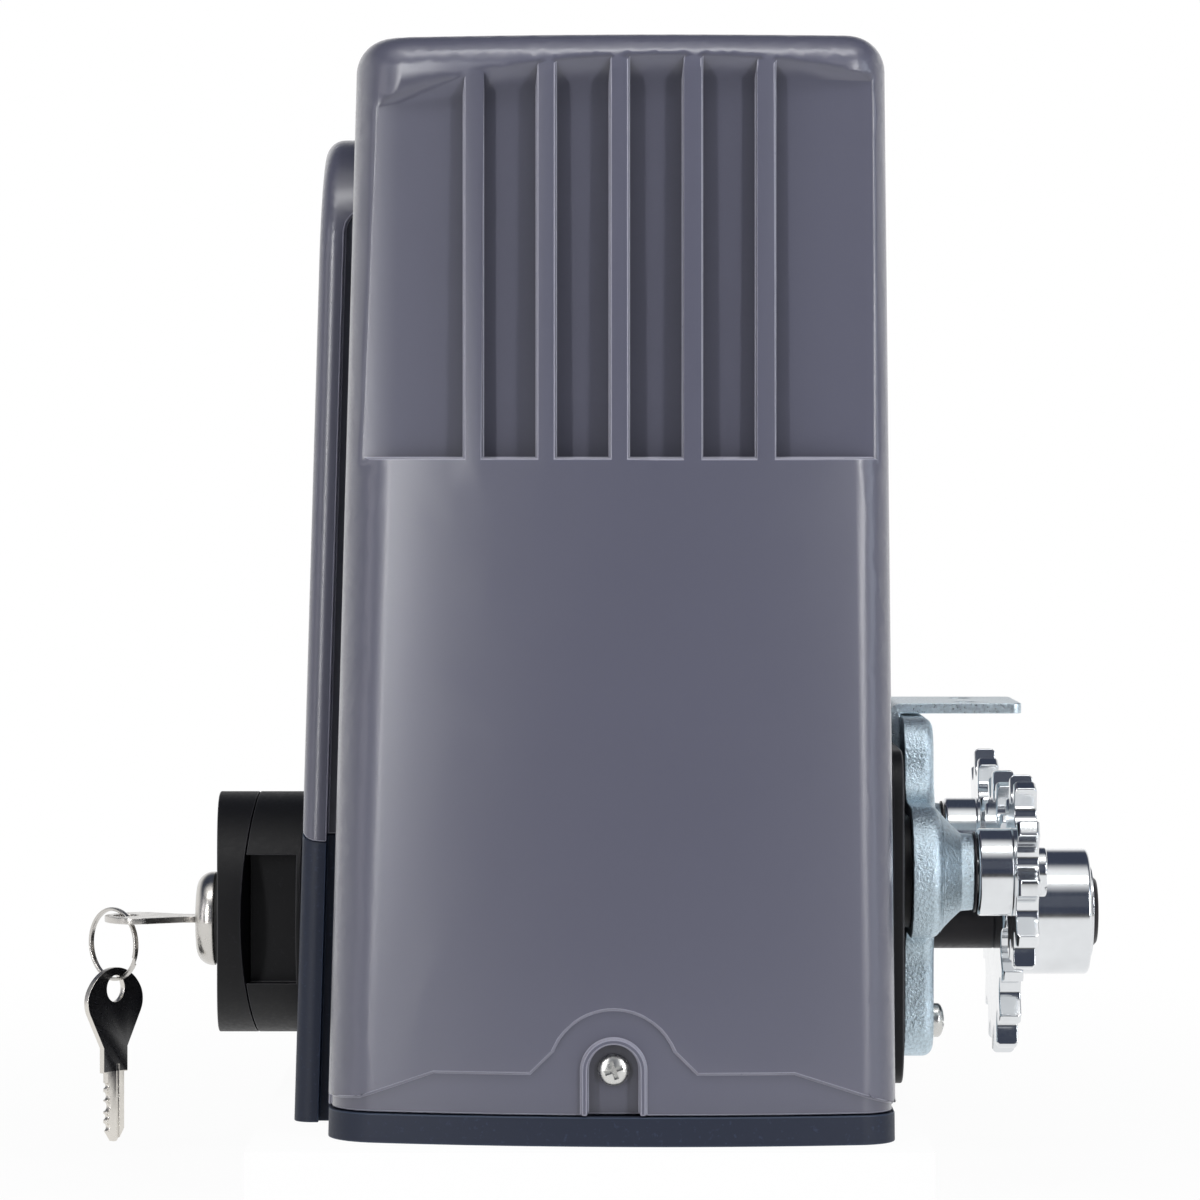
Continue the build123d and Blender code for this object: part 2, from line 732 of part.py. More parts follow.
with BuildPart() as gear_case:
    with BuildSketch(Plane.YZ.offset(case_front_x)):
        with Locations((case_mid_y, (base_floor + case_top_z) / 2)):
            RectangleRounded(case_depth_y, case_top_z - base_floor, case_edge)
    extrude(amount=case_lid_x - case_front_x)
    with BuildSketch(shaft_plane.offset(chamber_front_x)):
        Circle(chamber_radius)
    extrude(amount=case_lid_x - chamber_front_x + 1, mode=Mode.SUBTRACT)
    with BuildSketch(shaft_plane.offset(case_front_x - 1)):
        Circle(shaft_radius + 1.5)
    extrude(amount=chamber_front_x - case_front_x + 2, mode=Mode.SUBTRACT)
    with BuildSketch(shaft_plane.offset(case_front_x - 1)):
        Circle(front_bearing_outer + bearing_fit)
    extrude(amount=front_bearing_x + front_bearing_width - case_front_x + 1, mode=Mode.SUBTRACT)
    with BuildSketch(worm_plane.offset(worm_foot_bearing_z)):
        Circle(worm_foot_bearing_outer + bearing_fit)
    extrude(amount=worm_foot_bearing_width + 1, mode=Mode.SUBTRACT)
    with BuildSketch(worm_plane.offset(worm_foot_bearing_z + worm_foot_bearing_width)):
        Circle(worm_chamber_radius)
    extrude(amount=worm_head_bearing_z - worm_foot_bearing_z - worm_foot_bearing_width, mode=Mode.SUBTRACT)
    with BuildSketch(worm_plane.offset(worm_head_bearing_z)):
        Circle(worm_head_bearing_outer + bearing_fit)
    extrude(amount=case_top_z - worm_head_bearing_z + 1, mode=Mode.SUBTRACT)
    with BuildSketch(Plane.YZ.offset(case_lid_x - 12)):
        with Locations(*lid_screw_places):
            Circle(2.05)
    extrude(amount=13, mode=Mode.SUBTRACT)
gear_case.part.label = "gear_case"
export_step(gear_case.part, "parts/gear_case.step")

with BuildPart() as gear_case_lid:
    with BuildSketch(Plane.YZ.offset(case_lid_x)):
        with Locations((case_mid_y, (base_floor + case_top_z) / 2)):
            RectangleRounded(case_depth_y, case_top_z - base_floor, case_edge)
    extrude(amount=case_gate_x - case_lid_x)
    with BuildSketch(shaft_plane.offset(case_lid_x - 1)):
        Circle(rear_bearing_outer + bearing_fit)
    extrude(amount=rear_bearing_x + rear_bearing_width - case_lid_x + 1, mode=Mode.SUBTRACT)
    with BuildSketch(shaft_plane.offset(case_lid_x)):
        Circle(seal_outer + bearing_fit)
    extrude(amount=case_gate_x - case_lid_x + 1, mode=Mode.SUBTRACT)
    with BuildSketch(Plane.YZ.offset(case_lid_x - 1)):
        with Locations(*lid_screw_places):
            Circle(2.2)
        with Locations(*plate_screw_places):
            Circle(plate_screw_radius + 0.05)
        with Locations(*bracket_screw_places):
            Circle(plate_screw_radius + 0.05)
    extrude(amount=case_gate_x - case_lid_x + 2, mode=Mode.SUBTRACT)
    with BuildSketch(Plane.YZ.offset(case_gate_x - case_screw_sink)):
        with Locations(*lid_screw_places):
            Circle(case_screw_head_radius + 0.4)
    extrude(amount=case_screw_sink + 1, mode=Mode.SUBTRACT)
gear_case_lid.part.label = "gear_case_lid"
export_step(gear_case_lid.part, "parts/gear_case_lid.step")

front_bearing = ring_bearing(
    shaft_plane.offset(front_bearing_x), shaft_radius + running_gap, front_bearing_outer, front_bearing_width
)
front_bearing.part.label = "front_bearing"
export_step(front_bearing.part, "parts/front_bearing.step")
rear_bearing = ring_bearing(
    shaft_plane.offset(rear_bearing_x), shaft_radius + running_gap, rear_bearing_outer, rear_bearing_width
)
rear_bearing.part.label = "rear_bearing"
export_step(rear_bearing.part, "parts/rear_bearing.step")
worm_foot_bearing = ring_bearing(
    worm_plane.offset(worm_foot_bearing_z),
    worm_foot_radius + running_gap,
    worm_foot_bearing_outer,
    worm_foot_bearing_width,
)
worm_foot_bearing.part.label = "worm_foot_bearing"
export_step(worm_foot_bearing.part, "parts/worm_foot_bearing.step")
worm_head_bearing = ring_bearing(
    worm_plane.offset(worm_head_bearing_z),
    worm_head_radius + running_gap,
    worm_head_bearing_outer,
    worm_head_bearing_width,
)
worm_head_bearing.part.label = "worm_head_bearing"
export_step(worm_head_bearing.part, "parts/worm_head_bearing.step")

# Shaft seal with a lip recess on the outer side
with BuildPart() as shaft_seal:
    with BuildSketch(shaft_plane.offset(seal_x)):
        Circle(seal_outer)
        Circle(shaft_seal_radius + running_gap, mode=Mode.SUBTRACT)
    extrude(amount=seal_width)
    with BuildSketch(shaft_plane.offset(seal_x + seal_width - 1.2)):
        Circle(seal_outer - 2.0)
        Circle(shaft_seal_radius + 1.5, mode=Mode.SUBTRACT)
    extrude(amount=2.0, mode=Mode.SUBTRACT)
shaft_seal.part.label = "shaft_seal"
export_step(shaft_seal.part, "parts/shaft_seal.step")

# Output shaft: front journal, seal journal, and the long nose that carries the drive sprocket
rod_radius = 3.0
shaft_front_x = -50.0
seal_journal_x = seal_x + 0.2
release_travel = 5.0
collar_x = 15.2
collar_width = 12.0
cross_pin_radius = 2.0
cross_pin_x = collar_x + collar_width / 2
rod_bore_end_x = cross_pin_x + release_travel + 6.0
with BuildPart() as output_shaft:
    with BuildSketch(Plane.XZ):
        with BuildLine():
            Polyline(
                (shaft_front_x, shaft_z),
                (shaft_front_x, shaft_z + shaft_radius - 0.8),
                (shaft_front_x + 0.8, shaft_z + shaft_radius),
                (seal_journal_x, shaft_z + shaft_radius),
                (seal_journal_x, shaft_z + shaft_seal_radius),
                (sprocket_x, shaft_z + shaft_seal_radius),
                (sprocket_x, shaft_z + shaft_nose_radius),
                (shaft_end_x - 1.0, shaft_z + shaft_nose_radius),
                (shaft_end_x, shaft_z + shaft_nose_radius - 1.0),
                (shaft_end_x, shaft_z),
                close=True,
            )
        make_face()
    revolve(axis=Axis((0, 0, shaft_z), (1, 0, 0)))
    with BuildSketch(shaft_plane.offset(shaft_front_x - 1)):
        Circle(rod_radius + running_gap)
    extrude(amount=rod_bore_end_x - shaft_front_x + 1, mode=Mode.SUBTRACT)
    with BuildSketch(Plane.XZ.offset(-20)):
        with Locations((cross_pin_x + release_travel / 2, shaft_z)):
            SlotCenterToCenter(release_travel + 0.6, 2 * (cross_pin_radius + 0.2))
    extrude(amount=40, mode=Mode.SUBTRACT)
    key_x = sprocket_x + 5.0
    key_length_x = 16.0
    key_side = 5.0
    with BuildSketch(Plane.XY.offset(shaft_z + shaft_nose_radius - key_side / 2)):
        with Locations((key_x + key_length_x / 2, 0)):
            Rectangle(key_length_x, key_side)
    extrude(amount=key_side, mode=Mode.SUBTRACT)
output_shaft.part.label = "output_shaft"
export_step(output_shaft.part, "parts/output_shaft.step")

with BuildPart() as shaft_key:
    with BuildSketch(Plane.XY.offset(shaft_z + shaft_nose_radius - key_side / 2 + 0.02)):
        with Locations((key_x + key_length_x / 2, 0)):
            Rectangle(key_length_x - 0.04, key_side - 0.04)
    extrude(amount=key_side - 0.04)
shaft_key.part.label = "shaft_key"
export_step(shaft_key.part, "parts/shaft_key.step")

# Drive sprocket with its long hub, and the two idler sprockets
keyway_lap = 1.0
keyway_run_out = 10.0
drive_sprocket = sprocket(
    0,
    shaft_z,
    drive_teeth,
    drive_tip_angle,
    drive_hub_radius,
    sprocket_x,
    drive_hub_end_x,
    shaft_nose_radius + bearing_fit,
)
with BuildPart() as drive_sprocket_keyed:
    add(drive_sprocket.part)
    with BuildSketch(Plane.XY.offset(shaft_z + shaft_nose_radius - keyway_lap)):
        with Locations(((sprocket_x + drive_hub_end_x) / 2, 0)):
            Rectangle(drive_hub_end_x - sprocket_x + 2 * keyway_run_out, key_side)
    extrude(amount=keyway_lap + key_side / 2, mode=Mode.SUBTRACT)
drive_sprocket_keyed.part.label = "drive_sprocket"
export_step(drive_sprocket_keyed.part, "parts/drive_sprocket.step")

retaining_washer_radius = 11.25
retaining_washer_thickness = 0.8
with BuildPart() as retaining_washer:
    with BuildSketch(shaft_plane.offset(drive_hub_end_x + 0.02)):
        Circle(retaining_washer_radius)
        Circle(shaft_nose_radius + 0.02, mode=Mode.SUBTRACT)
    extrude(amount=retaining_washer_thickness)
retaining_washer.part.label = "retaining_washer"
export_step(retaining_washer.part, "parts/retaining_washer.step")

near_idler_sprocket = sprocket(
    -idler_spacing / 2,
    idler_z,
    idler_teeth,
    idler_tip_angle,
    idler_hub_radius,
    idler_hub_x,
    sprocket_x + 1.0,
    idler_pin_radius + running_gap,
)
near_idler_sprocket.part.label = "near_idler_sprocket"
export_step(near_idler_sprocket.part, "parts/near_idler_sprocket.step")
far_idler_sprocket = sprocket(
    idler_spacing / 2,
    idler_z,
    idler_teeth,
    far_idler_tip_angle,
    idler_hub_radius,
    idler_hub_x,
    sprocket_x + 1.0,
    idler_pin_radius + running_gap,
)
far_idler_sprocket.part.label = "far_idler_sprocket"
export_step(far_idler_sprocket.part, "parts/far_idler_sprocket.step")

# Countersunk screws hold the carrier plate and the bracket at the top
sunk_head_radius = 4.6
sunk_head_depth = 2.4

# Carrier plate with rounded edges, lobes and idler bosses
plate_front_x = plate_back_x + plate_thickness
with BuildPart() as carrier_plate:
    with BuildSketch(Plane.YZ.offset(plate_back_x)) as plate_outline:
        with Locations((0, (plate_low_z + plate_top_z) / 2)):
            RectangleRounded(2 * plate_half_width, plate_top_z - plate_low_z, plate_corner_radius)
        with Locations((0, idler_z)):
            SlotCenterToCenter(idler_spacing, 2 * lobe_radius)
        waist_corners = plate_outline.vertices().filter_by(
            lambda corner: abs(abs(corner.X) - plate_half_width) < 0.01
            and abs(abs(corner.Y - idler_z) - lobe_radius) < 0.01
        )
        fillet(waist_corners, lobe_blend_radius)
    extrude(amount=plate_thickness)
    fillet(carrier_plate.faces().sort_by(Axis.X)[-1].edges(), plate_edge_radius)
    for side in (-1, 1):
        boss_plane = Plane(
            origin=(plate_front_x, side * idler_spacing / 2, idler_z), x_dir=(1, 0, 0), z_dir=(0, -1, 0)
        )
        with BuildSketch(boss_plane):
            with BuildLine():
                Polyline(
                    (-1.0, 0),
                    (-1.0, boss_foot_radius),
                    (0, boss_foot_radius),
                )
                ThreePointArc(
                    (0, boss_foot_radius),
                    (boss_cone_length * 0.45, (boss_foot_radius + boss_neck_radius) / 2 + 0.1),
                    (boss_cone_length, boss_neck_radius),
                )
                Polyline(
                    (boss_cone_length, boss_neck_radius),
                    (boss_length, boss_neck_radius - 0.3),
                    (boss_length, 0),
                    (-1.0, 0),
                )
            make_face()
        revolve(axis=Axis(boss_plane.origin, (1, 0, 0)))
    with BuildSketch(Plane.YZ.offset(plate_back_x - 1)):
        with Locations((0, shaft_z)):
            Circle(shaft_seal_radius + 1.2)
        with Locations(*idler_places):
            Circle(idler_pin_radius + running_gap)
        with Locations(*plate_screw_places):
            Circle(plate_screw_radius + 0.1)
        with Locations(*bracket_screw_places):
            Circle(plate_screw_radius + 0.1)
    extrude(amount=plate_thickness + boss_length + 2, mode=Mode.SUBTRACT)
    for side in (-1, 1):
        sink_plane = Plane(
            origin=(plate_front_x, side * bracket_screw_y, bracket_screw_z), x_dir=(0, 1, 0), z_dir=(-1, 0, 0)
        )
        with BuildSketch(sink_plane):
            Circle(sunk_head_radius + running_gap)
        with BuildSketch(sink_plane.offset(sunk_head_depth)):
            Circle(2.5)
        loft(mode=Mode.SUBTRACT)
carrier_plate.part.label = "carrier_plate"
export_step(carrier_plate.part, "parts/carrier_plate.step")

# Worm shaft: journals, core and a one-start thread that meets the wheel at the shaft's height
lead = pi * gear_module
thread_turns = 5.5
thread_start_z = shaft_z - 2.75 * lead
thread_root_radius = worm_pitch_radius - 1.25 * gear_module
thread_tip_radius = worm_pitch_radius + gear_module
flank_slope = 0.364
thread_half_pitch = (lead / 2 - thread_backlash) / 2
thread_half_tip = thread_half_pitch - gear_module * flank_slope
thread_half_root = thread_half_pitch + (1.25 * gear_module + 0.4) * flank_slope
rotor_journal_radius = 7.0
head_journal_radius = 6.0
worm_top_z = motor_top_z + motor_bearing_width - 0.3
with BuildPart() as worm_shaft:
    with BuildSketch(Plane.XZ.offset(-worm_y)):
        with BuildLine():
            Polyline(
                (0, worm_foot_bearing_z),
                (worm_foot_radius, worm_foot_bearing_z),
                (worm_foot_radius, worm_foot_bearing_z + worm_foot_bearing_width + 0.3),
                (thread_root_radius, worm_foot_bearing_z + worm_foot_bearing_width + 0.3),
                (thread_root_radius, case_top_z + 4.0),
                (rotor_journal_radius, case_top_z + 4.0),
                (rotor_journal_radius, motor_top_z - 1.0),
                (head_journal_radius, motor_top_z - 1.0),
                (head_journal_radius, worm_top_z),
                (0, worm_top_z),
                close=True,
            )
        make_face()
    revolve(axis=Axis((0, worm_y, 0), (0, 0, 1)))
    with BuildLine() as thread_line:
        thread_foot = (0, worm_y, thread_start_z)
        Helix(pitch=lead, height=lead * thread_turns, radius=worm_pitch_radius, center=thread_foot)
    thread_start = (worm_pitch_radius, worm_y, thread_start_z)
    with BuildSketch(Plane(origin=thread_start, x_dir=(1, 0, 0), z_dir=(0, -1, 0))):
        with BuildLine():
            Polyline(
                (-1.25 * gear_module - 0.4, -thread_half_root),
                (gear_module, -thread_half_tip),
                (gear_module, thread_half_tip),
                (-1.25 * gear_module - 0.4, thread_half_root),
                close=True,
            )
        make_face()
    sweep(path=thread_line.line, is_frenet=True)
worm_shaft.part.label = "worm_shaft"
export_step(worm_shaft.part, "parts/worm_shaft.step")

# Worm wheel: thirty slanted tooth gaps, a hub, and four clutch dogs on its gate side
wheel_hub_radius = 15.0
wheel_front_x = -13.0
wheel_hub_end_x = 12.0
dog_length = 3.0
dog_gap = 0.3
gap_half_pitch = lead / 4
gap_half_mouth = gap_half_pitch + (gear_module + 0.4) * flank_slope
gap_half_root = gap_half_pitch - 1.25 * gear_module * flank_slope
lead_slope = lead / (2 * pi * worm_pitch_radius)
with BuildPart() as tooth_gap:
    slant_low_z = shaft_z - (wheel_width / 2 + 1.0) * lead_slope
    slant_start = (-wheel_width / 2 - 1.0, 0, slant_low_z)
    with BuildSketch(Plane(origin=slant_start, x_dir=(0, 1, 0), z_dir=(1, 0, 0))):
        with BuildLine():
            Polyline(
                (wheel_pitch_radius - 1.25 * gear_module, -gap_half_root),
                (wheel_pitch_radius + gear_module + 0.4, -gap_half_mouth),
                (wheel_pitch_radius + gear_module + 0.4, gap_half_mouth),
                (wheel_pitch_radius - 1.25 * gear_module, gap_half_root),
                close=True,
            )
        make_face()
    extrude(amount=(wheel_width + 2.0) * sqrt(1 + lead_slope**2), dir=(1, 0, lead_slope))
with BuildPart() as worm_wheel:
    with BuildSketch(shaft_plane.offset(-wheel_width / 2)):
        Circle(wheel_pitch_radius + gear_module)
    extrude(amount=wheel_width)
    for tooth in range(wheel_teeth):
        turned_gap = tooth_gap.part.rotate(Axis((0, 0, shaft_z), (1, 0, 0)), tooth * 360 / wheel_teeth)
        add(turned_gap, mode=Mode.SUBTRACT)
    with BuildSketch(shaft_plane.offset(wheel_front_x)):
        Circle(wheel_hub_radius)
    extrude(amount=wheel_hub_end_x - wheel_front_x)
    with BuildSketch(shaft_plane.offset(wheel_hub_end_x - 0.1)):
        with PolarLocations(12.0, 4):
            Rectangle(5.0, 6.0)
    extrude(amount=dog_length + 0.1)
    with BuildSketch(shaft_plane.offset(wheel_front_x - 1)):
        Circle(shaft_radius + running_gap)
    extrude(amount=wheel_hub_end_x - wheel_front_x + dog_length + 2, mode=Mode.SUBTRACT)
worm_wheel.part.label = "worm_wheel"
export_step(worm_wheel.part, "parts/worm_wheel.step")

# Clutch collar, its cross pin and the push rod that the release spindle moves
collar_radius = 17.5
with BuildPart() as clutch_collar:
    with BuildSketch(shaft_plane.offset(wheel_hub_end_x + dog_gap)):
        Circle(collar_radius)
        Circle(shaft_radius + running_gap, mode=Mode.SUBTRACT)
    extrude(amount=collar_x + collar_width - wheel_hub_end_x - dog_gap)
    with BuildSketch(shaft_plane.offset(wheel_hub_end_x)):
        with PolarLocations(12.0, 4):
            Rectangle(12.0, 6.0 + 2 * dog_gap)
    extrude(amount=dog_length + dog_gap, mode=Mode.SUBTRACT)
    with BuildSketch(Plane.XZ.offset(-collar_radius - 1)):
        with Locations((cross_pin_x, shaft_z)):
            Circle(cross_pin_radius + 0.02)
    extrude(amount=2 * collar_radius + 2, mode=Mode.SUBTRACT)
clutch_collar.part.label = "clutch_collar"
export_step(clutch_collar.part, "parts/clutch_collar.step")

with BuildPart() as cross_pin:
    with BuildSketch(Plane.XZ.offset(-collar_radius + 0.5)):
        with Locations((cross_pin_x, shaft_z)):
            Circle(cross_pin_radius)
    extrude(amount=2 * collar_radius - 1.0)
cross_pin.part.label = "cross_pin"
export_step(cross_pin.part, "parts/cross_pin.step")

rod_head_radius = 4.0
rod_head_front_x = -66.0
rod_head_back_x = -56.0
with BuildPart() as push_rod:
    with BuildSketch(shaft_plane.offset(rod_head_front_x)):
        Circle(rod_head_radius)
    extrude(amount=rod_head_back_x - rod_head_front_x)
    with BuildSketch(shaft_plane.offset(rod_head_back_x)):
        Circle(rod_radius)
    extrude(amount=cross_pin_x + 4.0 - rod_head_back_x)
    chamfer(push_rod.edges().filter_by(GeomType.CIRCLE).sort_by(Axis.X)[-1], 0.5)
    with BuildSketch(Plane.XZ.offset(-rod_head_radius - 1)):
        with Locations((cross_pin_x, shaft_z)):
            Circle(cross_pin_radius + 0.02)
    extrude(amount=2 * rod_head_radius + 2, mode=Mode.SUBTRACT)
push_rod.part.label = "push_rod"
export_step(push_rod.part, "parts/push_rod.step")

# Disc springs that push the collar home, between it and the rear bearing
spring_x = collar_x + collar_width + release_travel + 0.3
spring_end_x = rear_bearing_x - 0.3
disc_count = 6
disc_gauge = 0.8
disc_pitch = (spring_end_x - spring_x) / disc_count
with BuildPart() as disc_springs:
    for disc in range(disc_count):
        low_x = spring_x + disc * disc_pitch
        rise = disc_pitch - disc_gauge - 0.1
        inner_x = low_x + (rise if disc % 2 else 0)
        outer_x = low_x + (0 if disc % 2 else rise)
        with BuildSketch(Plane.XZ):
            with BuildLine():
                Polyline(
                    (inner_x, shaft_z + shaft_radius + 0.3),
                    (outer_x, shaft_z + 15.0),
                    (outer_x + disc_gauge, shaft_z + 15.0),
                    (inner_x + disc_gauge, shaft_z + shaft_radius + 0.3),
                    close=True,
                )
            make_face()
        revolve(axis=Axis((0, 0, shaft_z), (1, 0, 0)))
disc_springs.part.label = "disc_springs"
export_step(disc_springs.part, "parts/disc_springs.step")

# Motor: housing, stator, windings, rotor core, end cap and head bearing
motor_foot = 3.0
with BuildPart() as motor_housing:
    with BuildSketch(worm_plane.offset(case_top_z)):
        Circle(motor_outer_radius)
    extrude(amount=motor_top_z - case_top_z)
    with BuildSketch(worm_plane.offset(case_top_z + motor_foot)):
        Circle(motor_outer_radius - motor_wall)
    extrude(amount=motor_top_z, mode=Mode.SUBTRACT)
    with BuildSketch(worm_plane.offset(case_top_z - 1)):
        Circle(thread_root_radius + 6.0)
    extrude(amount=motor_foot + 2, mode=Mode.SUBTRACT)
    with BuildSketch(worm_plane.offset(motor_top_z - cap_screw_depth - 1.0)):
        with PolarLocations(motor_outer_radius - cap_screw_inset, 4, start_angle=45):
            Circle(cap_screw_radius + bearing_fit)
    extrude(amount=cap_screw_depth + 2.0, mode=Mode.SUBTRACT)
motor_housing.part.label = "motor_housing"
export_step(motor_housing.part, "parts/motor_housing.step")

with BuildPart() as stator_core:
    with BuildSketch(worm_plane.offset(stack_low_z)):
        Circle(motor_outer_radius - motor_wall - 0.05)
        Circle(stator_inner_radius, mode=Mode.SUBTRACT)
        with PolarLocations(stator_inner_radius + 1.0, 24):
            Rectangle(4.0, 2.2, mode=Mode.SUBTRACT)
    extrude(amount=stack_height)
stator_core.part.label = "stator_core"
export_step(stator_core.part, "parts/stator_core.step")

with BuildPart() as stator_windings:
    for winding_z in (stack_low_z - winding_height / 2, stack_low_z + stack_height + winding_height / 2):
        with BuildSketch(Plane.XZ.offset(-worm_y)) as winding_section:
            with Locations((winding_mid_radius, winding_z)):
                Rectangle(winding_width, winding_height - winding_gap)
            chamfer(winding_section.vertices(), winding_edge)
        revolve(axis=Axis((0, worm_y, 0), (0, 0, 1)))
stator_windings.part.label = "stator_windings"
export_step(stator_windings.part, "parts/stator_windings.step")

with BuildPart() as rotor_core:
    with BuildSketch(worm_plane.offset(stack_low_z)):
        Circle(rotor_radius)
    extrude(amount=stack_height)
    with BuildSketch(worm_plane.offset(stack_low_z - 5.0)):
        Circle(rotor_radius - 3.0)
    extrude(amount=stack_height + 10.0)
    with BuildSketch(worm_plane.offset(stack_low_z - 6.0)):
        Circle(rotor_journal_radius + bearing_fit)
    extrude(amount=stack_height + 12.0, mode=Mode.SUBTRACT)
rotor_core.part.label = "rotor_core"
export_step(rotor_core.part, "parts/rotor_core.step")

with BuildPart() as motor_end_cap:
    with BuildSketch(worm_plane.offset(motor_top_z)):
        Circle(motor_outer_radius)
    extrude(amount=motor_cap_thickness)
    fillet(motor_end_cap.faces().sort_by(Axis.Z)[-1].edges(), 0.7)
    with BuildSketch(worm_plane.offset(motor_top_z - 1)):
        Circle(motor_bearing_outer + bearing_fit)
    extrude(amount=motor_bearing_width + 1, mode=Mode.SUBTRACT)
    with BuildSketch(worm_plane.offset(motor_top_z)):
        with PolarLocations(motor_outer_radius - cap_screw_inset, 4, start_angle=45):
            Circle(cap_screw_radius + 0.1)
    extrude(amount=motor_cap_thickness + 1, mode=Mode.SUBTRACT)
motor_end_cap.part.label = "motor_end_cap"
export_step(motor_end_cap.part, "parts/motor_end_cap.step")

motor_head_bearing = ring_bearing(
    worm_plane.offset(motor_top_z),
    head_journal_radius + running_gap,
    motor_bearing_outer,
    motor_bearing_width,
)
motor_head_bearing.part.label = "motor_head_bearing"
export_step(motor_head_bearing.part, "parts/motor_head_bearing.step")

# Screws of the motor's end cap
with BuildPart() as end_cap_screws:
    cap_face = worm_plane.offset(motor_top_z + motor_cap_thickness)
    for corner in range(4):
        angle = radians(45 + 90 * corner)
        screw_reach = motor_outer_radius - cap_screw_inset
        place = cap_face.from_local_coords((screw_reach * cos(angle), screw_reach * sin(angle), 0))
        cap_screw_plane = Plane(origin=place, x_dir=(1, 0, 0), z_dir=(0, 0, 1))
        cap_screw_length = motor_cap_thickness + cap_screw_depth
        cap_screw = pan_screw(
            cap_screw_plane, cap_screw_head_radius, cap_screw_head, cap_screw_radius, cap_screw_length
        )
        add(cap_screw)
end_cap_screws.part.label = "end_cap_screws"
export_step(end_cap_screws.part, "parts/end_cap_screws.step")

# Screws that close the gear case from the gate side, with their heads sunk in the lid
with BuildPart() as case_lid_screws:
    sunk_face_x = case_gate_x - case_screw_sink
    for place_y, place_z in lid_screw_places:
        lid_screw_plane = Plane(origin=(sunk_face_x, place_y, place_z), x_dir=(0, 1, 0), z_dir=(1, 0, 0))
        lid_screw_length = sunk_face_x - case_lid_x + case_screw_depth
        lid_screw = pan_screw(
            lid_screw_plane, case_screw_head_radius, case_screw_head, case_screw_radius, lid_screw_length
        )
        add(lid_screw)
case_lid_screws.part.label = "case_lid_screws"
export_step(case_lid_screws.part, "parts/case_lid_screws.step")

# Control tray: an upright plate with a foot that stands on the floor of the base
tray_corner = 4.0
tray_foot_length = 14.0
tray_foot_half_width = 45.0
with BuildPart() as board_tray:
    with BuildSketch(Plane.XZ.offset(-tray_y)) as tray_outline:
        with Locations((0, base_floor)):
            Rectangle(2 * tray_half_width, tray_top_z - base_floor, align=(Align.CENTER, Align.MIN))
        fillet(tray_outline.vertices().group_by(Axis.Y)[-1], tray_corner)
    extrude(amount=tray_gauge)
    with BuildSketch(Plane.XY.offset(base_floor)):
        with Locations((0, tray_y)):
            Rectangle(2 * tray_foot_half_width, tray_foot_length, align=(Align.CENTER, Align.MAX))
    extrude(amount=tray_gauge)
board_tray.part.label = "board_tray"
export_step(board_tray.part, "parts/board_tray.step")

# Control board on four standoffs
tray_face_y = tray_y - tray_gauge
board_back_y = tray_face_y - board_gap
board_face_y = board_back_y - board_gauge
standoff_radius = 3.0
standoff_inset = 5.0
board_hole_radius = 1.6
standoff_spacing_x = board_width - 2 * standoff_inset
standoff_spacing_z = board_height - 2 * standoff_inset
with BuildPart() as board_standoffs:
    with BuildSketch(Plane.XZ.offset(-tray_face_y)):
        with Locations((0, board_mid_z)):
            with GridLocations(standoff_spacing_x, standoff_spacing_z, 2, 2):
                Circle(standoff_radius)
    extrude(amount=board_gap)
board_standoffs.part.label = "board_standoffs"
export_step(board_standoffs.part, "parts/board_standoffs.step")

with BuildPart() as control_board:
    with BuildSketch(Plane.XZ.offset(-board_back_y)):
        with Locations((0, board_mid_z)):
            Rectangle(board_width, board_height)
            with GridLocations(standoff_spacing_x, standoff_spacing_z, 2, 2):
                Circle(board_hole_radius, mode=Mode.SUBTRACT)
    extrude(amount=board_gauge)
control_board.part.label = "control_board"
export_step(control_board.part, "parts/control_board.step")

# Terminal block along the board's lower edge, one wire mouth for each pole
terminal_pitch = 5.0
terminal_count = 14
terminal_height = 9.0
terminal_depth = 11.0
terminal_mouth = 3.4
terminal_mouth_depth = 6.0
terminal_low_z = board_mid_z - board_height / 2 + 3.5
with BuildPart() as terminal_block:
    with BuildSketch(Plane.XZ.offset(-board_face_y)):
        with Locations((0, terminal_low_z)):
            Rectangle(terminal_pitch * terminal_count, terminal_height, align=(Align.CENTER, Align.MIN))
    extrude(amount=terminal_depth)
    with BuildSketch(Plane.XY.offset(terminal_low_z)):
        with Locations((0, board_face_y - terminal_depth / 2)):
            with GridLocations(terminal_pitch, 1, terminal_count, 1):
                Rectangle(terminal_mouth, terminal_mouth)
    extrude(amount=terminal_mouth_depth, mode=Mode.SUBTRACT)
terminal_block.part.label = "terminal_block"
export_step(terminal_block.part, "parts/terminal_block.step")

relay_count = 3
relay_spacing = 24.0
relay_width = 16.0
relay_height = 20.0
relay_depth = 16.0
relay_rise = 22.0
with BuildPart() as relays:
    with BuildSketch(Plane.XZ.offset(-board_face_y)):
        with Locations((0, board_mid_z + relay_rise)):
            with GridLocations(relay_spacing, 1, relay_count, 1):
                RectangleRounded(relay_width, relay_height, 1.0)
    extrude(amount=relay_depth)
relays.part.label = "relays"
export_step(relays.part, "parts/relays.step")

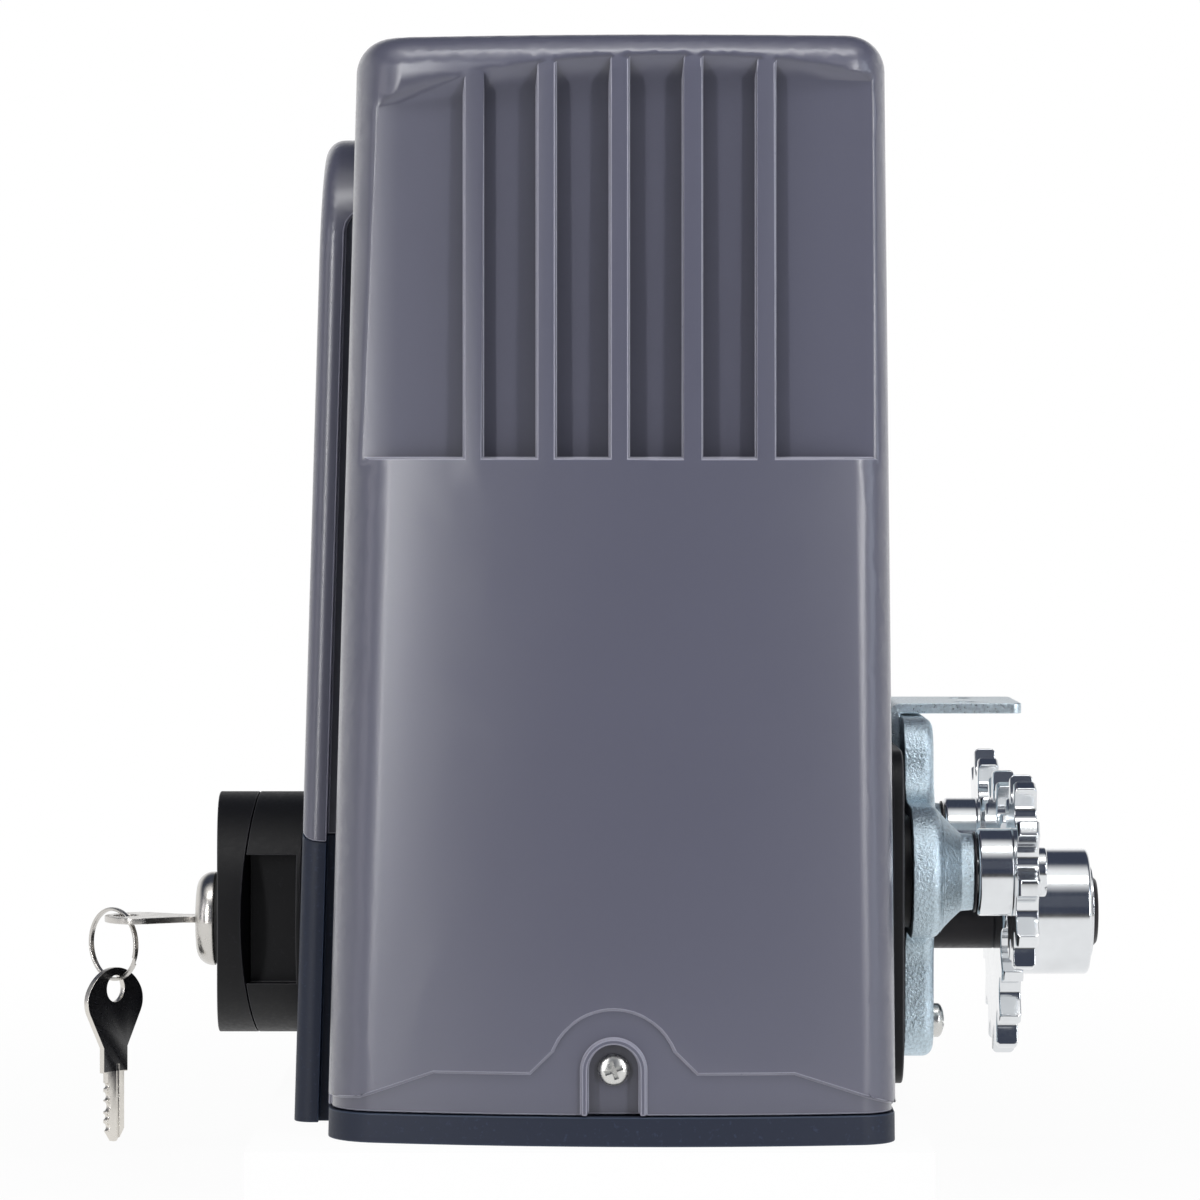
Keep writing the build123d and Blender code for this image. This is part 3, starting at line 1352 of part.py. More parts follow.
# Transformer: laminated core with its coil standing proud, low on the tray
transformer_x = -22.0
transformer_z = 58.0
core_width = 44.0
core_height = 37.0
core_depth = 16.0
coil_width = 26.0
coil_height = 24.0
coil_depth = 30.0
with BuildPart() as transformer:
    with BuildSketch(Plane.XZ.offset(-tray_face_y)):
        with Locations((transformer_x, transformer_z)):
            RectangleRounded(core_width, core_height, 1.0)
    extrude(amount=core_depth)
    with BuildSketch(Plane.XZ.offset(-tray_face_y)):
        with Locations((transformer_x, transformer_z)):
            RectangleRounded(coil_width, coil_height, 3.0)
    extrude(amount=coil_depth)
transformer.part.label = "transformer"
export_step(transformer.part, "parts/transformer.step")

capacitor_x = 26.0
capacitor_low_z = 24.0
capacitor_radius = 16.0
capacitor_length = 64.0
with BuildPart() as run_capacitor:
    with BuildSketch(Plane.XY.offset(capacitor_low_z)):
        with Locations((capacitor_x, tray_face_y - capacitor_radius - pad_gap)):
            Circle(capacitor_radius)
    extrude(amount=capacitor_length)
    fillet(run_capacitor.edges().filter_by(GeomType.CIRCLE), 2.0)
run_capacitor.part.label = "run_capacitor"
export_step(run_capacitor.part, "parts/run_capacitor.step")

sensor_inset = 14.0
sensor_width = 24.0
sensor_height = 12.0
sensor_depth = 9.0
with BuildPart() as limit_sensor:
    with BuildSketch(Plane.XZ.offset(-tray_face_y)):
        with Locations((tray_half_width - sensor_inset, tray_top_z - sensor_height / 2)):
            RectangleRounded(sensor_width, sensor_height, 1.0)
    extrude(amount=sensor_depth)
limit_sensor.part.label = "limit_sensor"
export_step(limit_sensor.part, "parts/limit_sensor.step")

# Closing panel on the gate side: a plug in the notch, a flange over it, and a pad behind the plate
panel_x = gate_x_foot + 0.2
pad_x = panel_x + rear_panel_thickness
plug_gap = 0.5
clamp_gap = 0.3
with BuildPart() as rear_panel:
    with BuildSketch(Plane.YZ.offset(panel_x)):
        with Locations((0, (rear_panel_low_z + rear_panel_top_z) / 2)):
            panel_height = rear_panel_top_z - rear_panel_low_z
            RectangleRounded(2 * rear_panel_half_width, panel_height, rear_panel_corner)
        with Locations((0, shaft_z)):
            Rectangle(2 * rear_tab_half_width, rear_tab_top_z - shaft_z, align=(Align.CENTER, Align.MIN))
    extrude(amount=rear_panel_thickness)
    fillet(rear_panel.edges().filter_by(Axis.X).group_by(Axis.Z)[-1], rear_tab_corner)
    add(notch_prism(notch_lap + plug_gap, base_floor + cover_seam, case_gate_x + running_gap, panel_x))
    with BuildSketch(Plane.YZ.offset(pad_x)):
        with Locations((0, (plate_low_z + rear_panel_top_z) / 2)):
            RectangleRounded(
                2 * (plate_half_width - rear_pad_inset),
                rear_panel_top_z - plate_low_z - 2 * rear_pad_inset,
                plate_corner_radius - rear_pad_inset,
            )
        with Locations((0, idler_z)):
            SlotCenterToCenter(idler_spacing, 2 * (lobe_radius - rear_pad_inset))
    extrude(amount=plate_back_x - pad_x)
    with BuildSketch(Plane.YZ.offset(pad_x)):
        with Locations((0, bracket_foot_z - clamp_gap)):
            Rectangle(
                2 * (bracket_half_width + clamp_gap),
                bracket_top_z - bracket_foot_z,
                align=(Align.CENTER, Align.MIN),
            )
    extrude(amount=plate_back_x - pad_x, mode=Mode.SUBTRACT)
    with BuildSketch(Plane.YZ.offset(case_gate_x)):
        with Locations((0, shaft_z)):
            Circle(shaft_seal_radius + 1.2)
        with Locations(*plate_screw_places):
            Circle(plate_screw_radius + 0.1)
        with Locations(*bracket_screw_places):
            Circle(plate_screw_radius + 0.1)
    extrude(amount=plate_back_x - case_gate_x, mode=Mode.SUBTRACT)
rear_panel.part.label = "rear_panel"
export_step(rear_panel.part, "parts/rear_panel.step")

# Folded bracket over the sprockets: its foot is clamped between the panel and the plate
foot_back_x = plate_back_x - bracket_gauge
with BuildPart() as top_bracket:
    with BuildSketch(Plane.XZ.offset(-bracket_half_width)) as bracket_side:
        with BuildLine():
            Polyline(
                (foot_back_x, bracket_foot_z),
                (foot_back_x, bracket_top_z),
                (bracket_reach_x, bracket_top_z),
                (bracket_reach_x, bracket_top_z - bracket_gauge),
                (plate_back_x, bracket_top_z - bracket_gauge),
                (plate_back_x, bracket_foot_z),
                close=True,
            )
        make_face()
        fillet(bracket_side.vertices().group_by(Axis.X)[0].sort_by(Axis.Y)[-1], bracket_bend)
    extrude(amount=2 * bracket_half_width)
    fillet(top_bracket.edges().filter_by(Axis.Z).group_by(Axis.X)[-1], bracket_corner)
    with BuildSketch(Plane.XY.offset(bracket_top_z)):
        with Locations((bracket_hole_x, 0)):
            with GridLocations(1, bracket_hole_spacing, 1, 2):
                Circle(bracket_hole_radius)
    extrude(amount=-bracket_gauge, mode=Mode.SUBTRACT)
    with BuildSketch(Plane.YZ.offset(foot_back_x)):
        with Locations(*bracket_screw_places):
            Circle(plate_screw_radius + 0.1)
    extrude(amount=bracket_gauge, mode=Mode.SUBTRACT)
top_bracket.part.label = "top_bracket"
export_step(top_bracket.part, "parts/top_bracket.step")

# Carrier plate fixings: pan heads low down, countersunk heads in front of the bracket's foot
plate_screw_length = plate_front_x - case_lid_x - 2.0
with BuildPart() as plate_screws:
    for place_y, place_z in plate_screw_places:
        head_plane = Plane(origin=(plate_front_x, place_y, place_z), x_dir=(0, 1, 0), z_dir=(1, 0, 0))
        plate_screw = pan_screw(
            head_plane, plate_screw_head_radius, plate_screw_head, plate_screw_radius, plate_screw_length
        )
        add(plate_screw)
plate_screws.part.label = "plate_screws"
export_step(plate_screws.part, "parts/plate_screws.step")

driver_slot_length = 4.6
driver_slot_width = 1.2
driver_slot_depth = 1.5
with BuildPart() as bracket_screws:
    for place_y, place_z in bracket_screw_places:
        sink_plane = Plane(origin=(plate_front_x, place_y, place_z), x_dir=(0, 1, 0), z_dir=(-1, 0, 0))
        with BuildSketch(sink_plane):
            Circle(sunk_head_radius)
        with BuildSketch(sink_plane.offset(sunk_head_depth)):
            Circle(plate_screw_radius - running_gap)
        loft()
        with BuildSketch(sink_plane):
            Circle(plate_screw_radius - running_gap)
        extrude(amount=plate_screw_length)
        with BuildSketch(sink_plane):
            Rectangle(driver_slot_length, driver_slot_width)
            Rectangle(driver_slot_width, driver_slot_length)
        extrude(amount=driver_slot_depth, mode=Mode.SUBTRACT)
bracket_screws.part.label = "bracket_screws"
export_step(bracket_screws.part, "parts/bracket_screws.step")

# Idler pins, riveted into the plate's bosses, and the thin washers behind the idler hubs
pin_back_x = plate_back_x + 0.3
pin_head_x = sprocket_x + sprocket_width + 0.3
with BuildPart() as idler_pins:
    with BuildSketch(Plane.YZ.offset(pin_back_x)):
        with Locations(*idler_places):
            Circle(idler_pin_radius)
    extrude(amount=pin_head_x - pin_back_x)
    with BuildSketch(Plane.YZ.offset(pin_head_x)):
        with Locations(*idler_places):
            Circle(idler_pin_head_radius)
    extrude(amount=idler_pin_head)
    fillet(idler_pins.faces().filter_by(Plane.YZ).group_by(Axis.X)[-1].edges(), 0.5)
idler_pins.part.label = "idler_pins"
export_step(idler_pins.part, "parts/idler_pins.step")

with BuildPart() as idler_washers:
    with BuildSketch(Plane.YZ.offset(plate_front_x + boss_length)):
        with Locations(*idler_places):
            Circle(idler_washer_radius)
            Circle(idler_pin_radius + running_gap, mode=Mode.SUBTRACT)
    extrude(amount=idler_washer_thickness)
idler_washers.part.label = "idler_washers"
export_step(idler_washers.part, "parts/idler_washers.step")


def knob_slice(front_x, front_rim_x, back_x, back_rim_x):
    """Slab between two upright bowed faces, each given by its place on the axis and at the rim."""
    rim_y = knob_radius + 1.0
    with BuildPart() as slab:
        with BuildSketch(Plane.XY.offset(shaft_z - rim_y)):
            with BuildLine():
                ThreePointArc((front_rim_x, -rim_y), (front_x, 0), (front_rim_x, rim_y))
                Line((front_rim_x, rim_y), (back_rim_x, rim_y))
                if back_x == back_rim_x:
                    Line((back_rim_x, rim_y), (back_rim_x, -rim_y))
                else:
                    ThreePointArc((back_rim_x, rim_y), (back_x, 0), (back_rim_x, -rim_y))
                Line((back_rim_x, -rim_y), (front_rim_x, -rim_y))
            make_face()
        extrude(amount=2 * rim_y)
    return slab.part


# Release knob: a cap and a pocketed body, both cut from one cylinder along a bowed seam
knob_plane = shaft_plane.offset(knob_front_x)
knob_length = knob_back_x - knob_front_x
lock_plane = Plane(origin=(0, 0, lock_z), x_dir=(0, 1, 0), z_dir=(1, 0, 0))
lock_hole_radius = lock_barrel_radius + running_gap
cam_cavity_low_x = lock_barrel_end_x - 0.2
cam_cavity_high_x = cam_cavity_low_x + lock_cam_thickness + 0.8
cam_x = lock_barrel_end_x + 0.1
with BuildPart() as release_knob_cap:
    with BuildSketch(knob_plane):
        Circle(knob_radius)
    extrude(amount=knob_length)
    add(
        knob_slice(knob_front_x, knob_front_x + knob_dish, knob_seam_x, knob_seam_x - knob_seam_bow),
        mode=Mode.INTERSECT,
    )
    with BuildSketch(lock_plane.offset(knob_front_x)):
        Circle(lock_hole_radius)
    extrude(amount=knob_length, mode=Mode.SUBTRACT)
release_knob_cap.part.label = "release_knob_cap"
export_step(release_knob_cap.part, "parts/release_knob_cap.step")

body_front_x = knob_seam_x + knob_seam_gap
with BuildPart() as release_knob_body:
    with BuildSketch(knob_plane):
        Circle(knob_radius)
    extrude(amount=knob_length)
    add(knob_slice(body_front_x, body_front_x - knob_seam_bow, knob_back_x, knob_back_x), mode=Mode.INTERSECT)
    with BuildSketch(knob_plane):
        with Locations((-knob_radius, 0), (knob_radius, 0)):
            Rectangle(2 * (knob_radius - knob_pocket_floor), 2 * knob_pocket_half)
    extrude(amount=knob_length - knob_rim, mode=Mode.SUBTRACT)
    with BuildSketch(lock_plane.offset(knob_front_x)):
        Circle(lock_hole_radius)
    extrude(amount=lock_barrel_end_x - knob_front_x, mode=Mode.SUBTRACT)
    with BuildSketch(lock_plane.offset(cam_cavity_low_x)):
        Circle(lock_cam_reach + 0.8)
    extrude(amount=cam_cavity_high_x - cam_cavity_low_x, mode=Mode.SUBTRACT)
    with BuildSketch(shaft_plane.offset(cam_cavity_high_x)):
        Circle(spindle_radius + bearing_fit)
    extrude(amount=knob_length, mode=Mode.SUBTRACT)
release_knob_body.part.label = "release_knob_body"
export_step(release_knob_body.part, "parts/release_knob_body.step")

with BuildPart() as release_spindle:
    with BuildSketch(shaft_plane.offset(cam_cavity_high_x)):
        Circle(spindle_radius)
    extrude(amount=spindle_end_x - cam_cavity_high_x)
    with BuildSketch(shaft_plane.offset(rod_head_front_x - 0.5)):
        Circle(rod_head_radius + running_gap)
    extrude(amount=spindle_end_x - rod_head_front_x + 1, mode=Mode.SUBTRACT)
release_spindle.part.label = "release_spindle"
export_step(release_spindle.part, "parts/release_spindle.step")

with BuildPart() as release_bush:
    with BuildSketch(shaft_plane.offset(apron_boss_x)):
        Circle(spindle_radius + bush_wall)
        Circle(spindle_radius + running_gap, mode=Mode.SUBTRACT)
    extrude(amount=apron_boss_depth)
release_bush.part.label = "release_bush"
export_step(release_bush.part, "parts/release_bush.step")

# Lock: domed cap, rubber ring, barrel, turning plug and cam
lock_cap_hole_radius = lock_plug_radius + 0.3
with BuildPart() as lock_cap:
    with BuildSketch(Plane.XZ):
        with BuildLine():
            Line(
                (lock_cap_front_x, lock_z + lock_cap_hole_radius),
                (lock_cap_front_x, lock_z + lock_cap_flat_radius),
            )
            ThreePointArc(
                (lock_cap_front_x, lock_z + lock_cap_flat_radius),
                (lock_cap_front_x + lock_cap_crown, lock_z + lock_cap_crown_radius),
                (lock_cap_back_x, lock_z + lock_cap_radius),
            )
            Polyline(
                (lock_cap_back_x, lock_z + lock_cap_radius),
                (lock_cap_back_x, lock_z + lock_cap_hole_radius),
                (lock_cap_front_x, lock_z + lock_cap_hole_radius),
            )
        make_face()
    revolve(axis=Axis((0, 0, lock_z), (1, 0, 0)))
lock_cap.part.label = "lock_cap"
export_step(lock_cap.part, "parts/lock_cap.step")

with BuildPart() as lock_seal:
    with BuildSketch(lock_plane.offset(lock_cap_back_x)):
        Circle(lock_cap_radius - 0.4)
        Circle(lock_hole_radius, mode=Mode.SUBTRACT)
    extrude(amount=knob_front_x - lock_cap_back_x - 0.05)
lock_seal.part.label = "lock_seal"
export_step(lock_seal.part, "parts/lock_seal.step")

with BuildPart() as lock_barrel:
    with BuildSketch(lock_plane.offset(lock_cap_back_x)):
        Circle(lock_barrel_radius)
        Circle(lock_plug_radius + running_gap, mode=Mode.SUBTRACT)
    extrude(amount=lock_barrel_end_x - lock_cap_back_x)
lock_barrel.part.label = "lock_barrel"
export_step(lock_barrel.part, "parts/lock_barrel.step")

key_slot_depth = key_length - key_shoulder + 0.6
with BuildPart() as lock_plug:
    with BuildSketch(lock_plane.offset(lock_face_x)):
        Circle(lock_plug_radius)
    extrude(amount=cam_x - lock_face_x)
    with BuildSketch(lock_plane.offset(lock_face_x)):
        Rectangle(key_blade_width + 2 * key_fit, key_gauge + 2 * key_fit)
    extrude(amount=key_slot_depth, mode=Mode.SUBTRACT)
lock_plug.part.label = "lock_plug"
export_step(lock_plug.part, "parts/lock_plug.step")

with BuildPart() as lock_cam:
    with BuildSketch(lock_plane.offset(cam_x)):
        Circle(lock_cam_hub_radius)
        with Locations((-lock_cam_reach / 2, 0)):
            SlotOverall(lock_cam_reach, lock_cam_width)
    extrude(amount=lock_cam_thickness)
lock_cam.part.label = "lock_cam"
export_step(lock_cam.part, "parts/lock_cam.step")

# Key in the lock with its blade in the plug, flat side up
key_bow_x = lock_face_x - 0.2 - key_shoulder
key_in_lock = key_blank().moved(Location((key_bow_x, 0, lock_z), (0, 0, 90)))
key_in_lock.label = "key_in_lock"
export_step(key_in_lock, "parts/key_in_lock.step")

# Ring through the key's hole, hanging on the rim of the bow
ring_dir = (cos(radians(ring_turn)), sin(radians(ring_turn)), 0)
ring_normal = (-sin(radians(ring_turn)), cos(radians(ring_turn)), 0)
ring_middle = (
    key_bow_x + key_hole_offset - ring_reach * ring_dir[0],
    -ring_reach * ring_dir[1],
    lock_z + key_gauge / 2 + ring_rest_gap - ring_radius + ring_wire_radius,
)
with BuildPart() as key_ring:
    with BuildSketch(Plane(origin=ring_middle, x_dir=ring_dir, z_dir=(0, 0, 1))) as ring_section:
        with Locations((ring_radius, 0)):
            Rectangle(2 * ring_wire_radius, ring_wire_width)
        chamfer(ring_section.vertices(), ring_edge)
    revolve(axis=Axis(ring_middle, ring_normal))
key_ring.part.label = "key_ring"
export_step(key_ring.part, "parts/key_ring.step")

# Spare key, hung by its hole from the bottom of the ring
spare_dir = (cos(radians(spare_turn)), sin(radians(spare_turn)), 0)
spare_normal = (sin(radians(spare_turn)), -cos(radians(spare_turn)), 0)
hang_z = ring_middle[2] - ring_radius + ring_wire_radius + 0.25
spare_top_z = hang_z + key_hole_offset - key_hole_radius
spare_plane = Plane(origin=(ring_middle[0], ring_middle[1], spare_top_z), x_dir=spare_dir, z_dir=spare_normal)
spare_key = key_blank().moved(spare_plane.location)
spare_key.label = "spare_key"
export_step(spare_key, "parts/spare_key.step")
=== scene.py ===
"""The looks of a sliding gate drive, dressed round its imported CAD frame."""

import json
import logging
import math
from dataclasses import dataclass, field
from enum import Enum
from typing import Any, Mapping, Sequence

import bmesh
import bpy
from mathutils import Euler, Matrix, Vector


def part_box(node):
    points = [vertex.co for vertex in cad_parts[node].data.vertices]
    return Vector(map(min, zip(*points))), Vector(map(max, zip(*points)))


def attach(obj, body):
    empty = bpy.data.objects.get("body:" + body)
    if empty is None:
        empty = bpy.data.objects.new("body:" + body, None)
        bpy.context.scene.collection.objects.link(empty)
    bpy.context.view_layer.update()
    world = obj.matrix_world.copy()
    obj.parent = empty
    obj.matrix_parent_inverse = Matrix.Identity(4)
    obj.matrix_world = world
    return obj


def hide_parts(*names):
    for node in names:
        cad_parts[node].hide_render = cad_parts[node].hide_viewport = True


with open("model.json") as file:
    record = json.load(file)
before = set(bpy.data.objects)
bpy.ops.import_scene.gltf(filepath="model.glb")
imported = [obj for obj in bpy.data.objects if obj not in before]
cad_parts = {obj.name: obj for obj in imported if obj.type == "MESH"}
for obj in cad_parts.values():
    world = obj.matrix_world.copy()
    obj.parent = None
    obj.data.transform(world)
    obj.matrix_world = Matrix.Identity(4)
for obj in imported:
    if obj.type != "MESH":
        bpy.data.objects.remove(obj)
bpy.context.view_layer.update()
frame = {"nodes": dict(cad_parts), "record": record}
MM = 0.001
WELD_REACH = 0.002 * MM
CUT_REACH = 0.001 * MM
FLAT_ANGLE = 0.3
ALL_SMOOTH = 180.0
WHITE = (1.0, 1.0, 1.0)
Socket = bpy.types.NodeSocket
log = logging.getLogger("gate_drive")


class Body(Enum):
    """The moving bodies of the drive, by their names in the frame."""

    HOUSING = "housing"
    MOTOR_ROTOR = "motor_rotor"
    DRIVE = "drive"
    CLUTCH = "clutch"
    NEAR_IDLER = "near_idler"
    FAR_IDLER = "far_idler"
    RELEASE_KNOB = "release_knob"
    LOCK = "lock"
    KEY = "key"
    RING = "ring"
    SPARE = "spare"


class Lay(Enum):
    """How the marks of a tool lie on a metal piece."""

    TURNED = "turned"
    GRAINY = "grainy"
    BRUSHED = "brushed"


class Graph:
    """A node tree under construction, with short calls to add and link its nodes."""

    def __init__(self, tree: bpy.types.NodeTree) -> None:
        """Takes an empty tree.

        Args:
            tree: the shader or geometry tree to fill.
        """
        self.tree = tree

    def add(self, kind: str, inputs: Mapping[Any, Any] | None = None, **settings: Any) -> bpy.types.Node:
        """Adds a node and fills its sockets.

        Args:
            kind: the node's Blender type name.
            inputs: socket name or number to a value, or to a socket to link from.
            settings: properties of the node itself.

        Returns:
            The new node.
        """
        node = self.tree.nodes.new(kind)
        for key, value in settings.items():
            setattr(node, key, value)
        for key, value in (inputs or {}).items():
            socket = node.inputs[key]
            if isinstance(value, Socket):
                self.tree.links.new(value, socket)
            else:
                socket.default_value = value
        return node

    def math(self, operation: str, first: Any, second: Any = 0.0, clamp: bool = False) -> Socket:
        """A Math node on two numbers or sockets.

        Returns:
            The result's socket.
        """
        node = self.add("ShaderNodeMath", {0: first, 1: second}, operation=operation, use_clamp=clamp)
        return node.outputs[0]

    def noise(self, vector: Any, scale: float, detail: float = 3.0, roughness: float = 0.55) -> Socket:
        """Noise in the piece's own space.

        Args:
            vector: the coordinate socket.
            scale: lumps per metre.
            detail: octaves.
            roughness: weight of the finer octaves.

        Returns:
            The noise value's socket.
        """
        values = {"Vector": vector, "Scale": scale, "Detail": detail, "Roughness": roughness}
        return self.add("ShaderNodeTexNoise", values).outputs["Fac"]

    def spread(
        self, value: Any, low: float, high: float, from_low: float = 0.3, from_high: float = 0.7
    ) -> Socket:
        """Maps a value from one range to another, clamped.

        Returns:
            The result's socket.
        """
        values = {"Value": value, "From Min": from_low, "From Max": from_high, "To Min": low, "To Max": high}
        return self.add("ShaderNodeMapRange", values).outputs["Result"]

    def tint(self, amount: Any, first: Sequence[float], second: Sequence[float]) -> Socket:
        """Mixes two colours by an amount.

        Returns:
            The mixed colour's socket.
        """
        node = self.add("ShaderNodeMix", data_type="RGBA")
        self.tree.links.new(amount, node.inputs["Factor"])
        node.inputs["A"].default_value = (*first, 1.0)
        node.inputs["B"].default_value = (*second, 1.0)
        return node.outputs["Result"]

    def bump(self, height: Any, strength: float, distance: float, normal: Any = None) -> Socket:
        """A bump from a height.

        Args:
            height: the height socket.
            strength: share of the effect.
            distance: depth in metres.
            normal: a bump to lay this one over.

        Returns:
            The bent normal's socket.
        """
        values = {"Height": height, "Strength": strength, "Distance": distance}
        if normal is not None:
            values["Normal"] = normal
        return self.add("ShaderNodeBump", values).outputs["Normal"]


def shade(color: Sequence[float], factor: float) -> tuple[float, ...]:
    """A lighter or darker shade of a colour.

    Returns:
        The colour times the factor.
    """
    return tuple(min(1.0, part * factor) for part in color)


@dataclass(frozen=True)
class Finish:
    """A finish of one or more pieces."""

    name: str
    color: tuple[float, float, float]
    roughness: float
    specular: float = field(default=0.5, kw_only=True)

    def material(self) -> bpy.types.Material:
        """The finish as a material, made once.

        Returns:
            The material.
        """
        title = f"{self.name}_finish"
        known = bpy.data.materials.get(title)
        if known is not None:
            return known
        made = bpy.data.materials.new(title)
        made.use_nodes = True
        made.node_tree.nodes.clear()
        graph = Graph(made.node_tree)
        shader = graph.add("ShaderNodeBsdfPrincipled", {"Specular IOR Level": self.specular})
        output = graph.add("ShaderNodeOutputMaterial")
        made.node_tree.links.new(shader.outputs["BSDF"], output.inputs["Surface"])
        place = graph.add("ShaderNodeTexCoord").outputs["Object"]
        self.paint(graph, shader, place)
        return made

    def paint(self, graph: Graph, shader: bpy.types.Node, place: Socket) -> None:
        """Links the finish's pattern to the shader.

        Args:
            graph: the material's tree.
            shader: its Principled shader.
            place: the piece's own coordinates.
        """
        raise NotImplementedError

    @staticmethod
    def wire(graph: Graph, shader: bpy.types.Node, sockets: Mapping[str, Any]) -> None:
        """Links or sets several of the shader's sockets."""
        for name, value in sockets.items():
            if isinstance(value, Socket):
                graph.tree.links.new(value, shader.inputs[name])
            else:
                shader.inputs[name].default_value = value


@dataclass(frozen=True)
class MouldedPlastic(Finish):
    """Plastic from a spark-eroded mould: a fine grain, faint flow clouds and a satin sheen."""

    grain: float = 1400.0
    grain_depth: float = 0.00003
    grain_strength: float = 0.25
    cloud: float = 0.05
    coat: float = 0.0
    speck: float = 0.0
    # Painted shade in hollows: how far the occlusion node looks, and the share of colour left where it is
    # fully shut in.
    painted_shade_reach: float = 0.0
    painted_shade_level: float = 0.4
    cloud_scale: float = 14.0
    speck_glow: float = 3.0
    smoother: float = 0.05
    rougher: float = 0.06
    coat_roughness: float = 0.27
    refraction: float = 1.5

    def paint(self, graph: Graph, shader: bpy.types.Node, place: Socket) -> None:
        """Links clouds, painted shade in the hollows, grain and specks to the shader."""
        clouds = graph.noise(place, self.cloud_scale, 2.0)
        color = graph.tint(clouds, shade(self.color, 1 - self.cloud), shade(self.color, 1 + self.cloud))
        # Painted shade: the colour is darkened where an occlusion node finds surfaces close by, in hollows
        # and between ribs.
        if self.painted_shade_reach:
            occlusion = graph.add("ShaderNodeAmbientOcclusion", {"Distance": self.painted_shade_reach}, samples=8)
            depth = graph.spread(occlusion.outputs["AO"], self.painted_shade_level, 1.0, 0.2, 0.95)
            color = graph.add("ShaderNodeVectorMath", {0: color, 1: depth}, operation="MULTIPLY").outputs[0]
        grain = graph.noise(place, self.grain, 2.0, 0.6)
        if self.speck:
            lit = graph.spread(grain, 0.0, self.speck, 0.6, 0.75)
            mix = graph.add("ShaderNodeMix", {"Factor": lit, "A": color}, data_type="RGBA")
            mix.inputs["B"].default_value = (*shade(self.color, self.speck_glow), 1.0)
            color = mix.outputs["Result"]
        rough = graph.spread(grain, self.roughness - self.smoother, self.roughness + self.rougher)
        normal = graph.bump(grain, self.grain_strength, self.grain_depth)
        self.wire(graph, shader, {"Base Color": color, "Roughness": rough, "Normal": normal})
        coat = {"Coat Weight": self.coat, "Coat Roughness": self.coat_roughness, "IOR": self.refraction}
        self.wire(graph, shader, coat)


@dataclass(frozen=True)
class Metal(Finish):
    """Bare or plated metal with the marks of its making."""

    lay: Lay = Lay.GRAINY
    axis: tuple[float, float] = (0.0, 0.0)
    marks: float = 900.0
    depth: float = 0.00005
    strength: float = 0.3
    stain: float = 0.12
    metallic: float = 1.0
    brush_axis: int = 2
    speck: float = 0.0
    brush_stretch: float = 0.03
    stain_scale: float = 60.0
    smoother: float = 0.75
    rougher: float = 1.3

    def marked_place(self, graph: Graph, place: Socket) -> Socket:
        """The coordinate along which the tool marks vary.

        Args:
            graph: the material's tree.
            place: the piece's own coordinates.

        Returns:
            A vector socket.
        """
        if self.lay is Lay.GRAINY:
            return place
        split = graph.add("ShaderNodeSeparateXYZ", {"Vector": place}).outputs
        if self.lay is Lay.BRUSHED:
            parts = [split[0], split[1], split[2]]
            parts[self.brush_axis] = graph.math("MULTIPLY", split[self.brush_axis], self.brush_stretch)
            return graph.add("ShaderNodeCombineXYZ", dict(enumerate(parts))).outputs[0]
        across = graph.math("SUBTRACT", split[1], self.axis[0])
        up = graph.math("SUBTRACT", split[2], self.axis[1])
        squares = graph.math("ADD", graph.math("MULTIPLY", across, across), graph.math("MULTIPLY", up, up))
        radius = graph.math("SQRT", squares)
        return graph.add("ShaderNodeCombineXYZ", {0: split[0], 1: radius}).outputs[0]

    def paint(self, graph: Graph, shader: bpy.types.Node, place: Socket) -> None:
        """Links tool marks, stains and roughness to the shader."""
        marks = graph.noise(self.marked_place(graph, place), self.marks, 4.0, 0.65)
        stains = graph.noise(place, self.stain_scale, 4.0, 0.6)
        stained = graph.spread(stains, 0.0, 1 - self.speck)
        specked = graph.spread(marks, 0.0, self.speck)
        blend = graph.math("ADD", stained, specked)
        color = graph.tint(blend, shade(self.color, 1 - self.stain), self.color)
        rough = graph.spread(marks, self.roughness * self.smoother, self.roughness * self.rougher)
        normal = graph.bump(marks, self.strength, self.depth)
        self.wire(graph, shader, {"Base Color": color, "Roughness": rough, "Normal": normal})
        self.wire(graph, shader, {"Metallic": self.metallic})


@dataclass(frozen=True)
class Rubber(Finish):
    """Matt rubber with a dusty bloom."""

    bloom_scale: float = 220.0
    bloom_shade: float = 1.9
    skin_strength: float = 0.3
    skin_depth: float = 0.00005
    sheen: float = 0.15

    def paint(self, graph: Graph, shader: bpy.types.Node, place: Socket) -> None:
        """Links bloom and skin texture to the shader."""
        bloom = graph.noise(place, self.bloom_scale, 4.0)
        color = graph.tint(graph.spread(bloom, 0.0, 1.0), self.color, shade(self.color, self.bloom_shade))
        normal = graph.bump(bloom, self.skin_strength, self.skin_depth)
        self.wire(graph, shader, {"Base Color": color, "Normal": normal, "Roughness": self.roughness})
        self.wire(graph, shader, {"Sheen Weight": self.sheen})


@dataclass(frozen=True)
class WoundCopper(Finish):
    """Enamelled copper wire, wound round an upright axis."""

    wires: float = 5200.0
    wire_strength: float = 0.6
    wire_depth: float = 0.0002
    lump_scale: float = 140.0
    shadow: float = 0.7
    metallic: float = 0.85

    def paint(self, graph: Graph, shader: bpy.types.Node, place: Socket) -> None:
        """Links the round of the wires to the shader."""
        split = graph.add("ShaderNodeSeparateXYZ", {"Vector": place}).outputs
        wave = graph.math("SINE", graph.math("MULTIPLY", split[2], self.wires))
        lumps = graph.noise(place, self.lump_scale, 3.0)
        color = graph.tint(graph.spread(lumps, 0.0, 1.0), shade(self.color, self.shadow), self.color)
        normal = graph.bump(wave, self.wire_strength, self.wire_depth)
        self.wire(graph, shader, {"Base Color": color, "Normal": normal, "Roughness": self.roughness})
        self.wire(graph, shader, {"Metallic": self.metallic})


